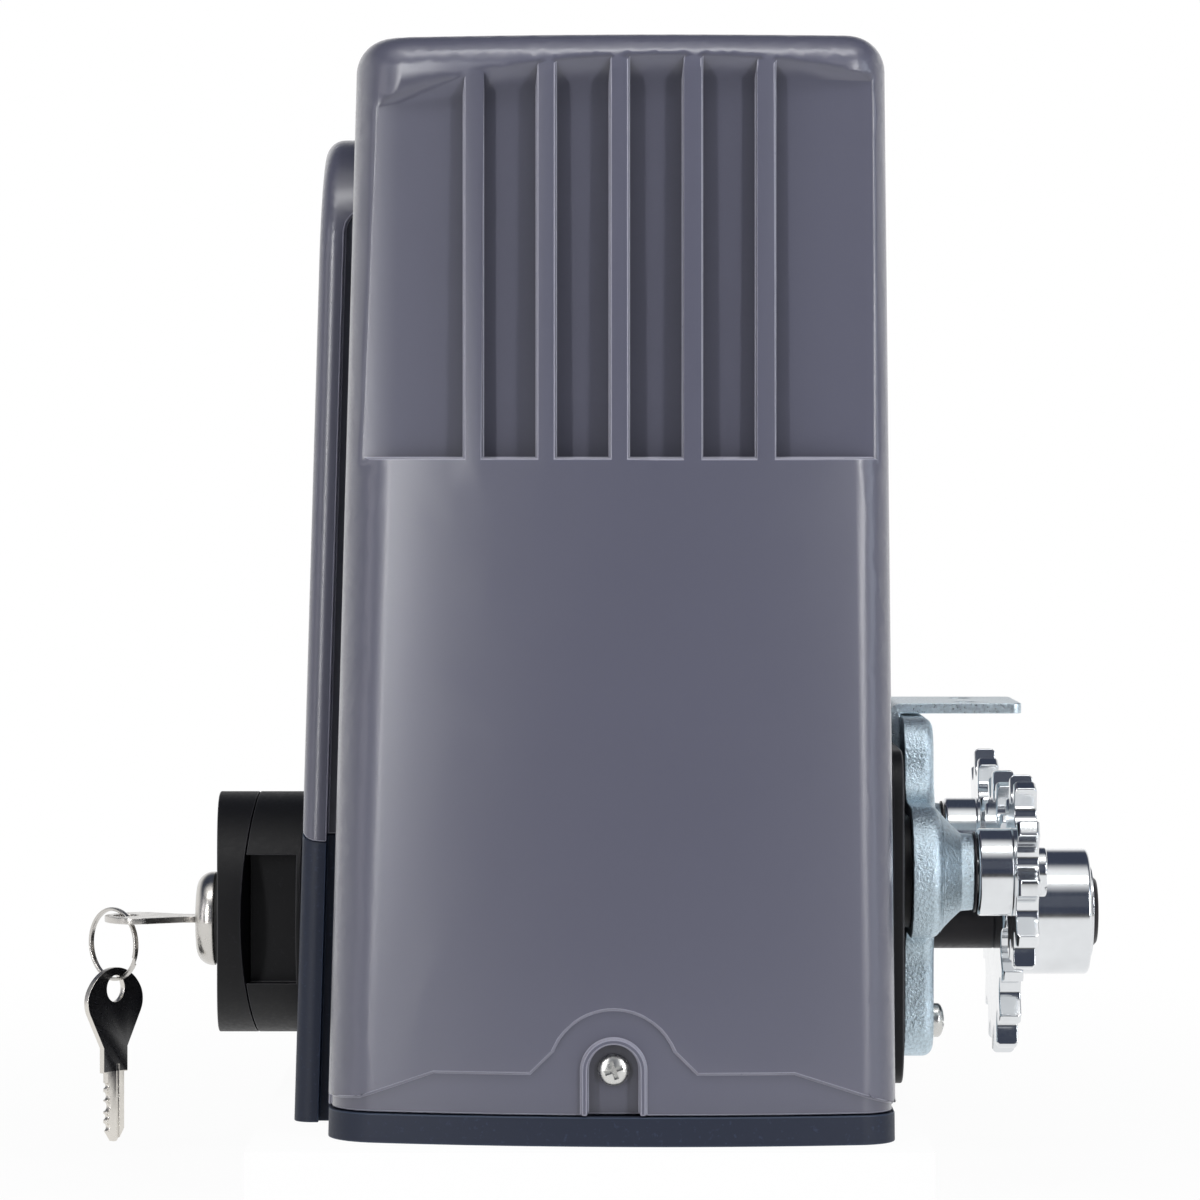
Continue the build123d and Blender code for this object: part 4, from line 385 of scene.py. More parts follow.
@dataclass(frozen=True)
class PrintedBoard(Finish):
    """A printed board's solder mask over its copper tracks."""

    track_scale: float = 90.0
    track_gap: float = 0.03
    track_length: float = 0.9
    track_shade: float = 1.8
    track_strength: float = 0.4
    track_depth: float = 0.00005
    coat: float = 0.4

    def paint(self, graph: Graph, shader: bpy.types.Node, place: Socket) -> None:
        """Links the tracks under the mask to the shader."""
        values = {"Vector": place, "Scale": self.track_scale, "Mortar Size": self.track_gap}
        values["Brick Width"] = self.track_length
        tracks = graph.add("ShaderNodeTexBrick", values).outputs["Fac"]
        color = graph.tint(tracks, self.color, shade(self.color, self.track_shade))
        normal = graph.bump(tracks, self.track_strength, self.track_depth)
        self.wire(graph, shader, {"Base Color": color, "Normal": normal, "Roughness": self.roughness})
        self.wire(graph, shader, {"Coat Weight": self.coat})


JOINT_PLACES = {
    joint["name"]: joint["pos_m"] for joint in frame["record"]["behaviour"]["joints"] if "pos_m" in joint
}
SHAFT_AXIS = tuple(JOINT_PLACES["drive_spin"][1:])
NEAR_IDLER_AXIS = tuple(JOINT_PLACES["near_idler_spin"][1:])
FAR_IDLER_AXIS = tuple(JOINT_PLACES["far_idler_spin"][1:])
STEEL = (0.80, 0.82, 0.84)

FINISHES: dict[str, Finish] = {
    # The casing gets painted shade in its hollows and flutes through its occlusion reach.
    "casing_plastic": MouldedPlastic(
        "casing_plastic", (0.095, 0.096, 0.136), 0.36, coat=1.0, specular=0.4, painted_shade_reach=0.014
    ),
    "base_plastic": MouldedPlastic(
        "base_plastic", (0.014, 0.019, 0.036), 0.5, grain=900.0, speck=0.4, specular=0.3
    ),
    "black_plastic": MouldedPlastic(
        "black_plastic",
        (0.005, 0.005, 0.006),
        0.5,
        grain=1000.0,
        grain_strength=0.5,
        speck=0.6,
        specular=0.25,
    ),
    "cast_zinc": Metal(
        "cast_zinc", (0.7, 0.84, 0.93), 0.36, marks=1300.0, depth=0.0004, strength=0.8, stain=0.5, speck=0.7
    ),
    "polished_steel": Metal("polished_steel", STEEL, 0.13, Lay.TURNED, SHAFT_AXIS, 1500.0, 0.00002, 0.25),
    "zinc_sheet": Metal(
        "zinc_sheet", (0.74, 0.85, 0.92), 0.32, marks=1400.0, depth=0.0002, strength=0.6, stain=0.4, speck=0.7
    ),
    "screw_steel": Metal("screw_steel", (0.66, 0.66, 0.64), 0.28, marks=700.0),
    "blackened_steel": Metal(
        "blackened_steel", (0.014, 0.012, 0.015), 0.38, metallic=0.2, marks=800.0, specular=0.3
    ),
    "nickel": Metal(
        "nickel", (0.62, 0.6, 0.57), 0.25, marks=250.0, depth=0.000004, strength=0.05, stain=0.06
    ),
    "key_black": MouldedPlastic("key_black", (0.012, 0.012, 0.014), 0.3, grain=2500.0, coat=0.3),
    "rubber": Rubber("rubber", (0.012, 0.012, 0.012), 0.75),
    "case_aluminium": Metal(
        "case_aluminium", (0.55, 0.56, 0.57), 0.5, marks=600.0, depth=0.0002, strength=0.5
    ),
    "bearing_steel": Metal(
        "bearing_steel", (0.6, 0.61, 0.62), 0.22, Lay.TURNED, SHAFT_AXIS, 1800.0, 0.00002
    ),
    "bronze": Metal("bronze", (0.55, 0.36, 0.16), 0.32, Lay.TURNED, SHAFT_AXIS, 1600.0, 0.00003),
    "core_steel": Metal("core_steel", (0.32, 0.33, 0.35), 0.4, Lay.BRUSHED, marks=2200.0, depth=0.0001),
    "copper": WoundCopper("copper", (0.45, 0.18, 0.07), 0.35),
    "board_green": PrintedBoard("board_green", (0.01, 0.11, 0.05), 0.35),
    "grey_plastic": MouldedPlastic("grey_plastic", (0.16, 0.17, 0.18), 0.45),
}
# Painted highlights: lighter colours laid on the eased edges in place of the light that their small fillets
# catch.
PAINTED_EDGE_HIGHLIGHTS: dict[str, Finish] = {
    "casing_plastic": MouldedPlastic("casing_edge_highlight", (0.25, 0.25, 0.31), 0.32, coat=0.5),
    "base_plastic": MouldedPlastic("base_edge_highlight", (0.03, 0.044, 0.075), 0.4, specular=0.3),
    "black_plastic": MouldedPlastic("black_edge_highlight", (0.03, 0.03, 0.034), 0.4, specular=0.3),
}
BARE_KEY_EDGE = Metal(
    "bare_key_edge", (0.74, 0.71, 0.66), 0.3, marks=400.0, depth=0.000004, strength=0.05, stain=0.08
)
NEAR_IDLER_STEEL = Metal(
    "near_idler_steel", STEEL, 0.13, Lay.TURNED, NEAR_IDLER_AXIS, 1500.0, 0.00002, 0.25
)
FAR_IDLER_STEEL = Metal("far_idler_steel", STEEL, 0.13, Lay.TURNED, FAR_IDLER_AXIS, 1500.0, 0.00002, 0.25)

SLOT_OF: dict[str, str] = {part["node"]: part["material_slot"] for part in frame["record"]["subparts"]}


def link(name: str, mesh: bpy.types.Mesh) -> bpy.types.Object:
    """Puts a mesh in the scene.

    Args:
        name: the new object's name.
        mesh: its mesh.

    Returns:
        The object, at the origin.
    """
    made = bpy.data.objects.new(name, mesh)
    bpy.context.scene.collection.objects.link(made)
    return made


def smooth(mesh: bpy.types.Mesh, angle: float) -> None:
    """Shades a mesh smooth, apart from edges sharper than an angle in degrees."""
    mesh.polygons.foreach_set("use_smooth", [True] * len(mesh.polygons))
    mesh.set_sharp_from_angle(angle=math.radians(angle))
    mesh.update()


def baked(source: bpy.types.Object, name: str) -> bpy.types.Mesh:
    """The mesh of an object with its modifiers worked out.

    Args:
        source: the object, which is removed.
        name: the new mesh's name.

    Returns:
        A plain mesh.
    """
    bpy.context.view_layer.update()
    graph = bpy.context.evaluated_depsgraph_get()
    mesh = bpy.data.meshes.new_from_object(source.evaluated_get(graph), depsgraph=graph)
    mesh.name = name
    bpy.data.objects.remove(source)
    return mesh


def welded(node: str) -> bpy.types.Mesh:
    """A copy of a CAD node's mesh with its loose triangles welded and its flats made whole.

    Args:
        node: the CAD node's name.

    Returns:
        The copy.
    """
    mesh = frame["nodes"][node].data.copy()
    mesh.materials.clear()
    for layer in ("custom_normal", "sharp_edge", "sharp_face"):
        if layer in mesh.attributes:
            mesh.attributes.remove(mesh.attributes[layer])
    shell = bmesh.new()
    shell.from_mesh(mesh)
    bmesh.ops.remove_doubles(shell, verts=shell.verts, dist=WELD_REACH)
    flat = math.radians(FLAT_ANGLE)
    bmesh.ops.dissolve_limit(shell, angle_limit=flat, verts=shell.verts, edges=shell.edges)
    shell.to_mesh(mesh)
    shell.free()
    return mesh


def loose_boxes(node: str) -> list[tuple[Vector, Vector]]:
    """The boxes of a node's separate solids.

    Args:
        node: the CAD node's name.

    Returns:
        The lowest and highest corner of each, sorted by place.
    """
    shell = bmesh.new()
    shell.from_mesh(frame["nodes"][node].data)
    bmesh.ops.remove_doubles(shell, verts=shell.verts, dist=WELD_REACH)
    left = set(shell.verts)
    boxes = []
    while left:
        island = [left.pop()]
        for vertex in island:
            near = {edge.other_vert(vertex) for edge in vertex.link_edges} & left
            left -= near
            island.extend(near)
        low = Vector(min(vertex.co[axis] for vertex in island) for axis in range(3))
        high = Vector(max(vertex.co[axis] for vertex in island) for axis in range(3))
        boxes.append((low, high))
    shell.free()
    return sorted(boxes, key=lambda corners: tuple(corners[0]))


@dataclass
class SubAssembly:
    """A group of CAD nodes that come apart together, with the way each is dressed."""

    name: str
    body: Body
    edges: dict[str, float] = field(default_factory=dict)
    plain: tuple[str, ...] = ()
    finishes: dict[str, Finish] = field(default_factory=dict)
    bevel_angle: float = 32.0
    bevel_segments: int = 2

    def finish_of(self, node: str) -> Finish:
        """The finish of a node, its own or its slot's."""
        return self.finishes.get(node, FINISHES[SLOT_OF[node]])

    def dress(self) -> None:
        """Gives every node of the group its edges and its finish."""
        for node, width in self.edges.items():
            self.eased(node, width)
        for node in self.plain:
            self.coated(node)
        log.info("%s: %d pieces", self.name, len(self.edges) + len(self.plain))

    def coated(self, node: str) -> None:
        """Gives a CAD node its material and keeps its mesh."""
        mesh = frame["nodes"][node].data
        mesh.materials.clear()
        mesh.materials.append(self.finish_of(node).material())

    def eased(self, node: str, width: float) -> bpy.types.Object:
        """Replaces a CAD node with a copy whose sharp edges are eased.

        Args:
            node: the CAD node's name.
            width: width of the eased edge in metres.

        Returns:
            The dressed piece.
        """
        blank = link(f"{node}_blank", welded(node))
        blank.data.materials.append(self.finish_of(node).material())
        bevel = blank.modifiers.new("ease", "BEVEL")
        bevel.width = width
        bevel.segments = self.bevel_segments
        bevel.limit_method = "ANGLE"
        bevel.angle_limit = math.radians(self.bevel_angle)
        bevel.use_clamp_overlap = False
        # The eased edge faces get a lighter material: a painted highlight.
        if SLOT_OF[node] in PAINTED_EDGE_HIGHLIGHTS:
            blank.data.materials.append(PAINTED_EDGE_HIGHLIGHTS[SLOT_OF[node]].material())
            bevel.material = 1
        smooth(blank.data, ALL_SMOOTH)
        weigh = blank.modifiers.new("weigh", "WEIGHTED_NORMAL")
        weigh.keep_sharp = True
        piece = link(f"{node}_piece", baked(blank, node))
        return self.stand_in(piece, node)

    def stand_in(self, piece: bpy.types.Object, node: str) -> bpy.types.Object:
        """Lets a piece ride on the group's body in place of a CAD node.

        Args:
            piece: the finished piece.
            node: the CAD node that it replaces.

        Returns:
            The piece.
        """
        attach(piece, self.body.value)
        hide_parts(node)
        return piece


class Forms:
    """Geometry Nodes trees for what repeats or follows a path."""

    @staticmethod
    def tree(name: str, inputs: Mapping[str, str]) -> tuple[Graph, bpy.types.Node]:
        """An empty geometry tree with named inputs.

        Args:
            name: the tree's name.
            inputs: the socket type of each input, by its name.

        Returns:
            The graph and its group input.
        """
        tree = bpy.data.node_groups.new(name, "GeometryNodeTree")
        tree.interface.new_socket("Geometry", in_out="INPUT", socket_type="NodeSocketGeometry")
        for label, kind in inputs.items():
            tree.interface.new_socket(label, in_out="INPUT", socket_type=kind)
        tree.interface.new_socket("Geometry", in_out="OUTPUT", socket_type="NodeSocketGeometry")
        graph = Graph(tree)
        return graph, graph.add("NodeGroupInput")

    @staticmethod
    def finish(graph: Graph, shape: Socket, material: Socket) -> None:
        """Ends a tree with real meshes in their material."""
        real = graph.add("GeometryNodeRealizeInstances", {"Geometry": shape}).outputs[0]
        dressed = graph.add("GeometryNodeSetMaterial", {"Geometry": real, "Material": material})
        output = graph.add("NodeGroupOutput")
        graph.tree.links.new(dressed.outputs[0], output.inputs[0])

    @staticmethod
    def grown(name: str, mesh: bpy.types.Mesh, tree: bpy.types.NodeTree, values: Mapping[str, Any]) -> Any:
        """Runs a tree on a mesh.

        Args:
            name: the new piece's name.
            mesh: the points that the tree starts from.
            tree: the geometry tree.
            values: input name to value.

        Returns:
            The mesh that the tree makes.
        """
        source = link(f"{name}_source", mesh)
        modifier = source.modifiers.new("grow", "NODES")
        modifier.node_group = tree
        names = {item.name: item.identifier for item in tree.interface.items_tree if item.in_out == "INPUT"}
        for label, value in values.items():
            modifier[names[label]] = value
        return baked(source, name)

    @classmethod
    def cross_screw(cls) -> bpy.types.NodeTree:
        """A pan-head screw with a cross recess, set on every point of the input mesh.

        Returns:
            The tree. It reads each point's turn from the attribute of that name.
        """
        round_sides = 40
        shank_sides = 24
        rim_share = 0.45
        dome_share = 0.998
        inputs = {
            "Head Radius": "NodeSocketFloat",
            "Head Height": "NodeSocketFloat",
            "Shank Radius": "NodeSocketFloat",
            "Shank Length": "NodeSocketFloat",
            "Recess Width": "NodeSocketFloat",
            "Recess Reach": "NodeSocketFloat",
            "Recess Depth": "NodeSocketFloat",
            "Material": "NodeSocketMaterial",
        }
        graph, given = cls.tree("cross_screw", inputs)
        get = given.outputs
        rim = graph.math("MULTIPLY", get["Head Height"], rim_share)
        wall = graph.add(
            "GeometryNodeMeshCylinder", {"Vertices": round_sides, "Radius": get["Head Radius"], "Depth": rim}
        ).outputs["Mesh"]
        wall_up = graph.add("ShaderNodeCombineXYZ", {2: graph.math("MULTIPLY", rim, 0.5)}).outputs[0]
        wall = graph.add("GeometryNodeTransform", {"Geometry": wall, "Translation": wall_up}).outputs[0]
        ball = graph.add(
            "GeometryNodeMeshUVSphere",
            {"Segments": round_sides, "Rings": round_sides // 2, "Radius": get["Head Radius"]},
        ).outputs["Mesh"]
        rise = graph.math("SUBTRACT", get["Head Height"], rim)
        flat = graph.math("DIVIDE", rise, get["Head Radius"])
        squash = graph.add("ShaderNodeCombineXYZ", {0: dome_share, 1: dome_share, 2: flat}).outputs[0]
        lift = graph.add("ShaderNodeCombineXYZ", {2: rim}).outputs[0]
        dome = graph.add(
            "GeometryNodeTransform", {"Geometry": ball, "Translation": lift, "Scale": squash}
        ).outputs[0]
        head = graph.add("GeometryNodeMeshBoolean", operation="UNION", solver="EXACT")
        graph.tree.links.new(wall, head.inputs["Mesh"])
        graph.tree.links.new(dome, head.inputs["Mesh"])
        arms = graph.add("GeometryNodeMeshBoolean", operation="UNION", solver="EXACT")
        depth = graph.math("MULTIPLY", get["Recess Depth"], 2.0)
        top = graph.add("ShaderNodeCombineXYZ", {2: get["Head Height"]}).outputs[0]
        for first, second in ((0, 1), (1, 0)):
            size = graph.add(
                "ShaderNodeCombineXYZ", {first: get["Recess Reach"], second: get["Recess Width"], 2: depth}
            ).outputs[0]
            arm = graph.add("GeometryNodeMeshCube", {"Size": size}).outputs["Mesh"]
            arm = graph.add("GeometryNodeTransform", {"Geometry": arm, "Translation": top}).outputs[0]
            graph.tree.links.new(arm, arms.inputs["Mesh"])
        recessed = graph.add("GeometryNodeMeshBoolean", operation="DIFFERENCE", solver="EXACT")
        graph.tree.links.new(head.outputs["Mesh"], recessed.inputs["Mesh 1"])
        graph.tree.links.new(arms.outputs["Mesh"], recessed.inputs["Mesh 2"])
        shank = graph.add(
            "GeometryNodeMeshCylinder",
            {"Vertices": shank_sides, "Radius": get["Shank Radius"], "Depth": get["Shank Length"]},
        ).outputs["Mesh"]
        down = graph.add(
            "ShaderNodeCombineXYZ", {2: graph.math("MULTIPLY", get["Shank Length"], -0.5)}
        ).outputs[0]
        shank = graph.add("GeometryNodeTransform", {"Geometry": shank, "Translation": down}).outputs[0]
        screw = graph.add("GeometryNodeJoinGeometry")
        graph.tree.links.new(shank, screw.inputs[0])
        graph.tree.links.new(recessed.outputs["Mesh"], screw.inputs[0])
        turn = graph.add("GeometryNodeInputNamedAttribute", data_type="FLOAT_VECTOR")
        turn.inputs["Name"].default_value = "turn"
        placed = graph.add(
            "GeometryNodeInstanceOnPoints",
            {"Points": get["Geometry"], "Instance": screw.outputs[0], "Rotation": turn.outputs["Attribute"]},
        )
        cls.finish(graph, placed.outputs[0], get["Material"])
        return graph.tree

    @classmethod
    def split_ring(cls) -> bpy.types.NodeTree:
        """A flat wire wound round twice into a ring, centred on a place.

        Returns:
            The tree.
        """
        path_steps = 90
        corner_share = 0.3
        corner_steps = 3
        inputs = {
            "Radius": "NodeSocketFloat",
            "Wire Height": "NodeSocketFloat",
            "Wire Width": "NodeSocketFloat",
            "Turns": "NodeSocketFloat",
            "Place": "NodeSocketVector",
            "Turn": "NodeSocketRotation",
            "Material": "NodeSocketMaterial",
        }
        graph, given = cls.tree("split_ring", inputs)
        get = given.outputs
        rise = graph.math("MULTIPLY", get["Wire Width"], get["Turns"])
        rise = graph.math("SUBTRACT", rise, get["Wire Width"])
        path = graph.add(
            "GeometryNodeCurveSpiral",
            {
                "Resolution": path_steps,
                "Rotations": get["Turns"],
                "Start Radius": get["Radius"],
                "End Radius": get["Radius"],
                "Height": rise,
            },
        ).outputs[0]
        middle = graph.add("ShaderNodeCombineXYZ", {2: graph.math("MULTIPLY", rise, -0.5)}).outputs[0]
        path = graph.add("GeometryNodeTransform", {"Geometry": path, "Translation": middle}).outputs[0]
        section = graph.add(
            "GeometryNodeCurvePrimitiveQuadrilateral",
            {"Width": get["Wire Width"], "Height": get["Wire Height"]},
        ).outputs[0]
        section = graph.add(
            "GeometryNodeFilletCurve",
            {"Curve": section, "Radius": graph.math("MULTIPLY", get["Wire Width"], corner_share)},
        )
        section.mode = "POLY"
        section.inputs["Count"].default_value = corner_steps
        wire = graph.add(
            "GeometryNodeCurveToMesh",
            {"Curve": path, "Profile Curve": section.outputs[0], "Fill Caps": True},
        ).outputs[0]
        placed = graph.add(
            "GeometryNodeTransform",
            {"Geometry": wire, "Translation": get["Place"], "Rotation": get["Turn"]},
        ).outputs[0]
        cls.finish(graph, placed, get["Material"])
        return graph.tree


@dataclass
class Screws:
    """Cross-recess screws that stand for one CAD node of screws."""

    node: str
    body: Body
    out: Vector
    head_height: float
    shank_radius: float
    twist: float = 0.35
    recess_width: float = 0.3
    recess_reach: float = 1.2
    recess_depth: float = 0.75
    crease_angle: float = 35.0
    mirrored: bool = False

    def places(self) -> tuple[list[Vector], list[Vector], float, float]:
        """Where the screws sit.

        Returns:
            Seat points under the heads, outward directions, head radius and shank length.
        """
        seats = []
        ways = []
        axis = max(range(3), key=lambda index: abs(self.out[index]))
        across = next(index for index in range(3) if index != axis)
        boxes = loose_boxes(self.node)
        middle = sum((low[axis] + high[axis] for low, high in boxes), 0.0) / (2 * len(boxes))
        for low, high in boxes:
            way = self.out.copy()
            if self.mirrored and (low[axis] + high[axis]) / 2 < middle:
                way = -way
            seat = (low + high) / 2
            seat[axis] = (high[axis] if way[axis] > 0 else low[axis]) - way[axis] * self.head_height
            seats.append(seat)
            ways.append(way)
        low, high = boxes[0]
        radius = (high[across] - low[across]) / 2
        return seats, ways, radius, high[axis] - low[axis] - self.head_height

    def dress(self) -> None:
        """Makes the screws and lets them ride in place of the node."""
        seats, ways, radius, length = self.places()
        mesh = bpy.data.meshes.new(f"{self.node}_places")
        mesh.from_pydata([tuple(seat) for seat in seats], [], [])
        turns = mesh.attributes.new("turn", "FLOAT_VECTOR", "POINT")
        for row, way in zip(turns.data, ways):
            face = way.to_track_quat("Z", "Y").to_matrix() @ Matrix.Rotation(self.twist, 3, "Z")
            row.vector = face.to_euler()
        tree = bpy.data.node_groups.get("cross_screw") or Forms.cross_screw()
        values = {
            "Head Radius": radius,
            "Head Height": self.head_height,
            "Shank Radius": self.shank_radius,
            "Shank Length": length,
            "Recess Width": self.recess_width * radius,
            "Recess Reach": self.recess_reach * radius,
            "Recess Depth": self.recess_depth * self.head_height,
            "Material": FINISHES[SLOT_OF[self.node]].material(),
        }
        grown = Forms.grown(f"{self.node}_piece", mesh, tree, values)
        if "turn" in grown.attributes:
            grown.attributes.remove(grown.attributes["turn"])
        piece = link(f"{self.node}_piece", grown)
        smooth(piece.data, self.crease_angle)
        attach(piece, self.body.value)
        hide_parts(self.node)
        log.info("%s: %d screws", self.node, len(seats))


@dataclass
class KeySet:
    """The key in the lock, its split ring and the spare key on it."""

    key_edge: float = 0.14 * MM
    ring_turns: float = 1.97
    ring_gauge: float = 0.9 * MM
    ring_width: float = 1.7 * MM
    ring_start: float = 200.0
    crease_angle: float = 40.0
    broad_facing: float = 0.9
    black_reach: float = 26.0 * MM

    def dress(self) -> None:
        """Dresses the two keys and winds the ring."""
        SubAssembly("key in lock", Body.KEY, {"key_in_lock": self.key_edge}).dress()
        self.split_ring()
        self.spare_key()
        log.info("key set: 3 pieces")

    def split_ring(self) -> None:
        """Winds the split ring round the place of the CAD ring."""
        low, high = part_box("key_ring")
        radius = (high.z - low.z - self.ring_gauge) / 2
        axis = Vector((1.0, 1.0, 0.0)).normalized()
        turn = axis.to_track_quat("Z", "Y") @ Euler((0.0, 0.0, math.radians(self.ring_start))).to_quaternion()
        tree = Forms.split_ring()
        mesh = bpy.data.meshes.new("ring_start")
        mesh.from_pydata([(0.0, 0.0, 0.0)], [], [])
        values = {
            "Radius": radius,
            "Wire Height": self.ring_gauge,
            "Wire Width": self.ring_width / 2,
            "Turns": self.ring_turns,
            "Place": tuple((low + high) / 2),
            "Turn": tuple(turn.to_euler()),
            "Material": FINISHES["nickel"].material(),
        }
        grown = Forms.grown("key_ring_piece", mesh, tree, values)
        piece = link("key_ring_piece", grown)
        smooth(piece.data, self.crease_angle)
        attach(piece, Body.RING.value)
        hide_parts("key_ring")

    def spare_key(self) -> None:
        """Gives the spare key a black bow, bare at its edge, and a bare blade."""
        group = SubAssembly("spare key", Body.SPARE)
        piece = group.eased("spare_key", self.key_edge)
        piece.data.materials.append(BARE_KEY_EDGE.material())
        collar = Vector((0.0, 0.0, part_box("spare_key")[1].z - self.black_reach))
        shell = bmesh.new()
        shell.from_mesh(piece.data)
        everything = [*shell.verts, *shell.edges, *shell.faces]
        bmesh.ops.bisect_plane(
            shell, geom=everything, dist=CUT_REACH, plane_co=collar, plane_no=(0.0, 0.0, 1.0)
        )
        broad = max(shell.faces, key=lambda face: face.calc_area()).normal.copy()
        for face in shell.faces:
            flat = abs(face.normal.dot(broad)) > self.broad_facing
            face.material_index = 0 if flat and face.calc_center_median().z > collar.z else 1
        shell.to_mesh(piece.data)
        shell.free()


@dataclass
class Studio:
    """Camera, floor, backdrop light and lamps."""

    eye: tuple[float, float, float] = (-0.00275, -1.353, 0.153)
    focal_length: float = 162.0
    film: float = 36.0
    shift_down: float = 0.10
    floor_z: float = -16.5 * MM
    floor_reach: float = 6.0
    block_margin: float = 8.0 * MM
    sky: float = 0.16
    dusk: float = 0.08
    clip_near: float = 0.05
    clip_far: float = 50.0
    block_gap: float = 0.05 * MM
    aim: tuple[float, float, float] = (0.0, 0.0, 0.12)
    paper_color: tuple[float, float, float] = (0.86, 0.86, 0.87)
    dark_side: tuple[float, float, float] = (0.05, 0.06, 0.09)

    def camera(self) -> None:
        """Sets the camera up level, looking along the gate."""
        data = bpy.data.cameras.new("view")
        data.sensor_width = self.film
        data.lens = self.focal_length
        data.shift_y = -self.shift_down
        data.clip_start = self.clip_near
        data.clip_end = self.clip_far
        seen = bpy.data.objects.new("view", data)
        seen.location = self.eye
        seen.rotation_euler = (math.radians(90), 0.0, 0.0)
        bpy.context.scene.collection.objects.link(seen)
        bpy.context.scene.camera = seen

    def paper(self) -> bpy.types.Material:
        """Pale paper that shows white round the object and keeps its shadow.

        Returns:
            The material.
        """
        made = bpy.data.materials.new("paper")
        made.use_nodes = True
        made.node_tree.nodes.clear()
        graph = Graph(made.node_tree)
        place = graph.add("ShaderNodeTexCoord").outputs["Object"]
        far = graph.add("ShaderNodeVectorMath", {0: place}, operation="LENGTH").outputs["Value"]
        glow = graph.spread(far, 0.96, 1.0, 0.12, 0.5)
        across = graph.add("ShaderNodeSeparateXYZ", {"Vector": place}).outputs[1]
        table = graph.spread(across, self.dusk, 1.0, -0.6, -0.35)
        path = graph.add("ShaderNodeLightPath").outputs
        mirrored = graph.math("ADD", path["Is Glossy Ray"], path["Is Transmission Ray"], clamp=True)
        seen = graph.math("ADD", path["Is Camera Ray"], mirrored, clamp=True)
        level = graph.math("ADD", path["Is Camera Ray"], graph.math("MULTIPLY", mirrored, table), clamp=True)
        paper = graph.add("ShaderNodeBsdfDiffuse", {"Color": (*self.paper_color, 1.0)}).outputs[0]
        white = graph.add("ShaderNodeEmission", {"Color": (*WHITE, 1.0), "Strength": level}).outputs[0]
        mixed = graph.add("ShaderNodeMixShader", {0: graph.math("MULTIPLY", seen, glow), 1: paper, 2: white})
        output = graph.add("ShaderNodeOutputMaterial")
        graph.tree.links.new(mixed.outputs[0], output.inputs["Surface"])
        return made

    def floor(self) -> None:
        """Lays the floor and the low block that the base stands on."""
        paper = self.paper()
        reach = self.floor_reach
        corners = [(-reach, -reach, self.floor_z), (reach, -reach, self.floor_z)]
        corners += [(reach, reach, self.floor_z), (-reach, reach, self.floor_z)]
        mesh = bpy.data.meshes.new("floor")
        mesh.from_pydata(corners, [], [(0, 1, 2, 3)])
        mesh.materials.append(paper)
        link("floor", mesh)
        low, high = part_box("base_housing")
        shell = bmesh.new()
        bmesh.ops.create_cube(shell, size=1.0)
        margin = self.block_margin
        lows = Vector((low.x - margin, low.y - margin, self.floor_z))
        highs = Vector((high.x + margin, high.y + margin, -self.block_gap))
        for vertex in shell.verts:
            for axis in range(3):
                vertex.co[axis] = lows[axis] if vertex.co[axis] < 0 else highs[axis]
        block = bpy.data.meshes.new("block")
        shell.to_mesh(block)
        shell.free()
        block.materials.append(paper)
        link("block", block)

    def world(self) -> None:
        """Lights the room: white behind the object, darker on the camera's side for the metal."""
        room = bpy.data.worlds.new("room")
        room.use_nodes = True
        room.node_tree.nodes.clear()
        graph = Graph(room.node_tree)
        way = graph.add("ShaderNodeTexCoord").outputs["Generated"]
        split = graph.add("ShaderNodeSeparateXYZ", {"Vector": way}).outputs
        behind = graph.spread(split[1], 0.0, 1.0, -0.15, 0.3)
        behind = graph.math("MULTIPLY", behind, graph.spread(split[2], 1.0, 0.0, 0.3, 0.6))
        above = graph.spread(split[2], 0.0, 1.0, 0.62, 0.85)
        above = graph.math("MULTIPLY", above, graph.spread(split[1], 1.0, 0.0, -0.1, 0.2))
        light = graph.math("MAXIMUM", behind, above)
        color = graph.tint(light, self.dark_side, WHITE)
        path = graph.add("ShaderNodeLightPath").outputs
        seen = graph.add("ShaderNodeMix", {"A": color}, data_type="RGBA")
        graph.tree.links.new(path["Is Camera Ray"], seen.inputs["Factor"])
        seen.inputs["B"].default_value = (*WHITE, 1.0)
        direct = graph.math("ADD", path["Is Camera Ray"], path["Is Glossy Ray"])
        direct = graph.math("ADD", direct, path["Is Transmission Ray"], clamp=True)
        level = graph.spread(direct, self.sky, 1.0, 0.0, 1.0)
        shine = graph.add("ShaderNodeBackground", {"Color": seen.outputs["Result"], "Strength": level})
        output = graph.add("ShaderNodeOutputWorld")
        graph.tree.links.new(shine.outputs[0], output.inputs["Surface"])
        bpy.context.scene.world = room

    def lamp(
        self,
        name: str,
        place: Sequence[float],
        size: tuple[float, float],
        watts: float,
        color: tuple[float, float, float] = WHITE,
    ) -> None:
        """Hangs a softbox that faces the middle of the object.

        Args:
            name: the lamp's name.
            place: its middle in metres.
            size: width and height in metres.
            watts: its power.
            color: its light's colour.
        """
        data = bpy.data.lights.new(name, "AREA")
        data.shape = "RECTANGLE"
        data.size, data.size_y = size
        data.energy = watts
        data.color = color
        made = bpy.data.objects.new(name, data)
        made.location = place
        aim = Vector(self.aim) - Vector(place)
        made.rotation_euler = aim.to_track_quat("-Z", "Y").to_euler()
        made.visible_camera = False
        bpy.context.scene.collection.objects.link(made)

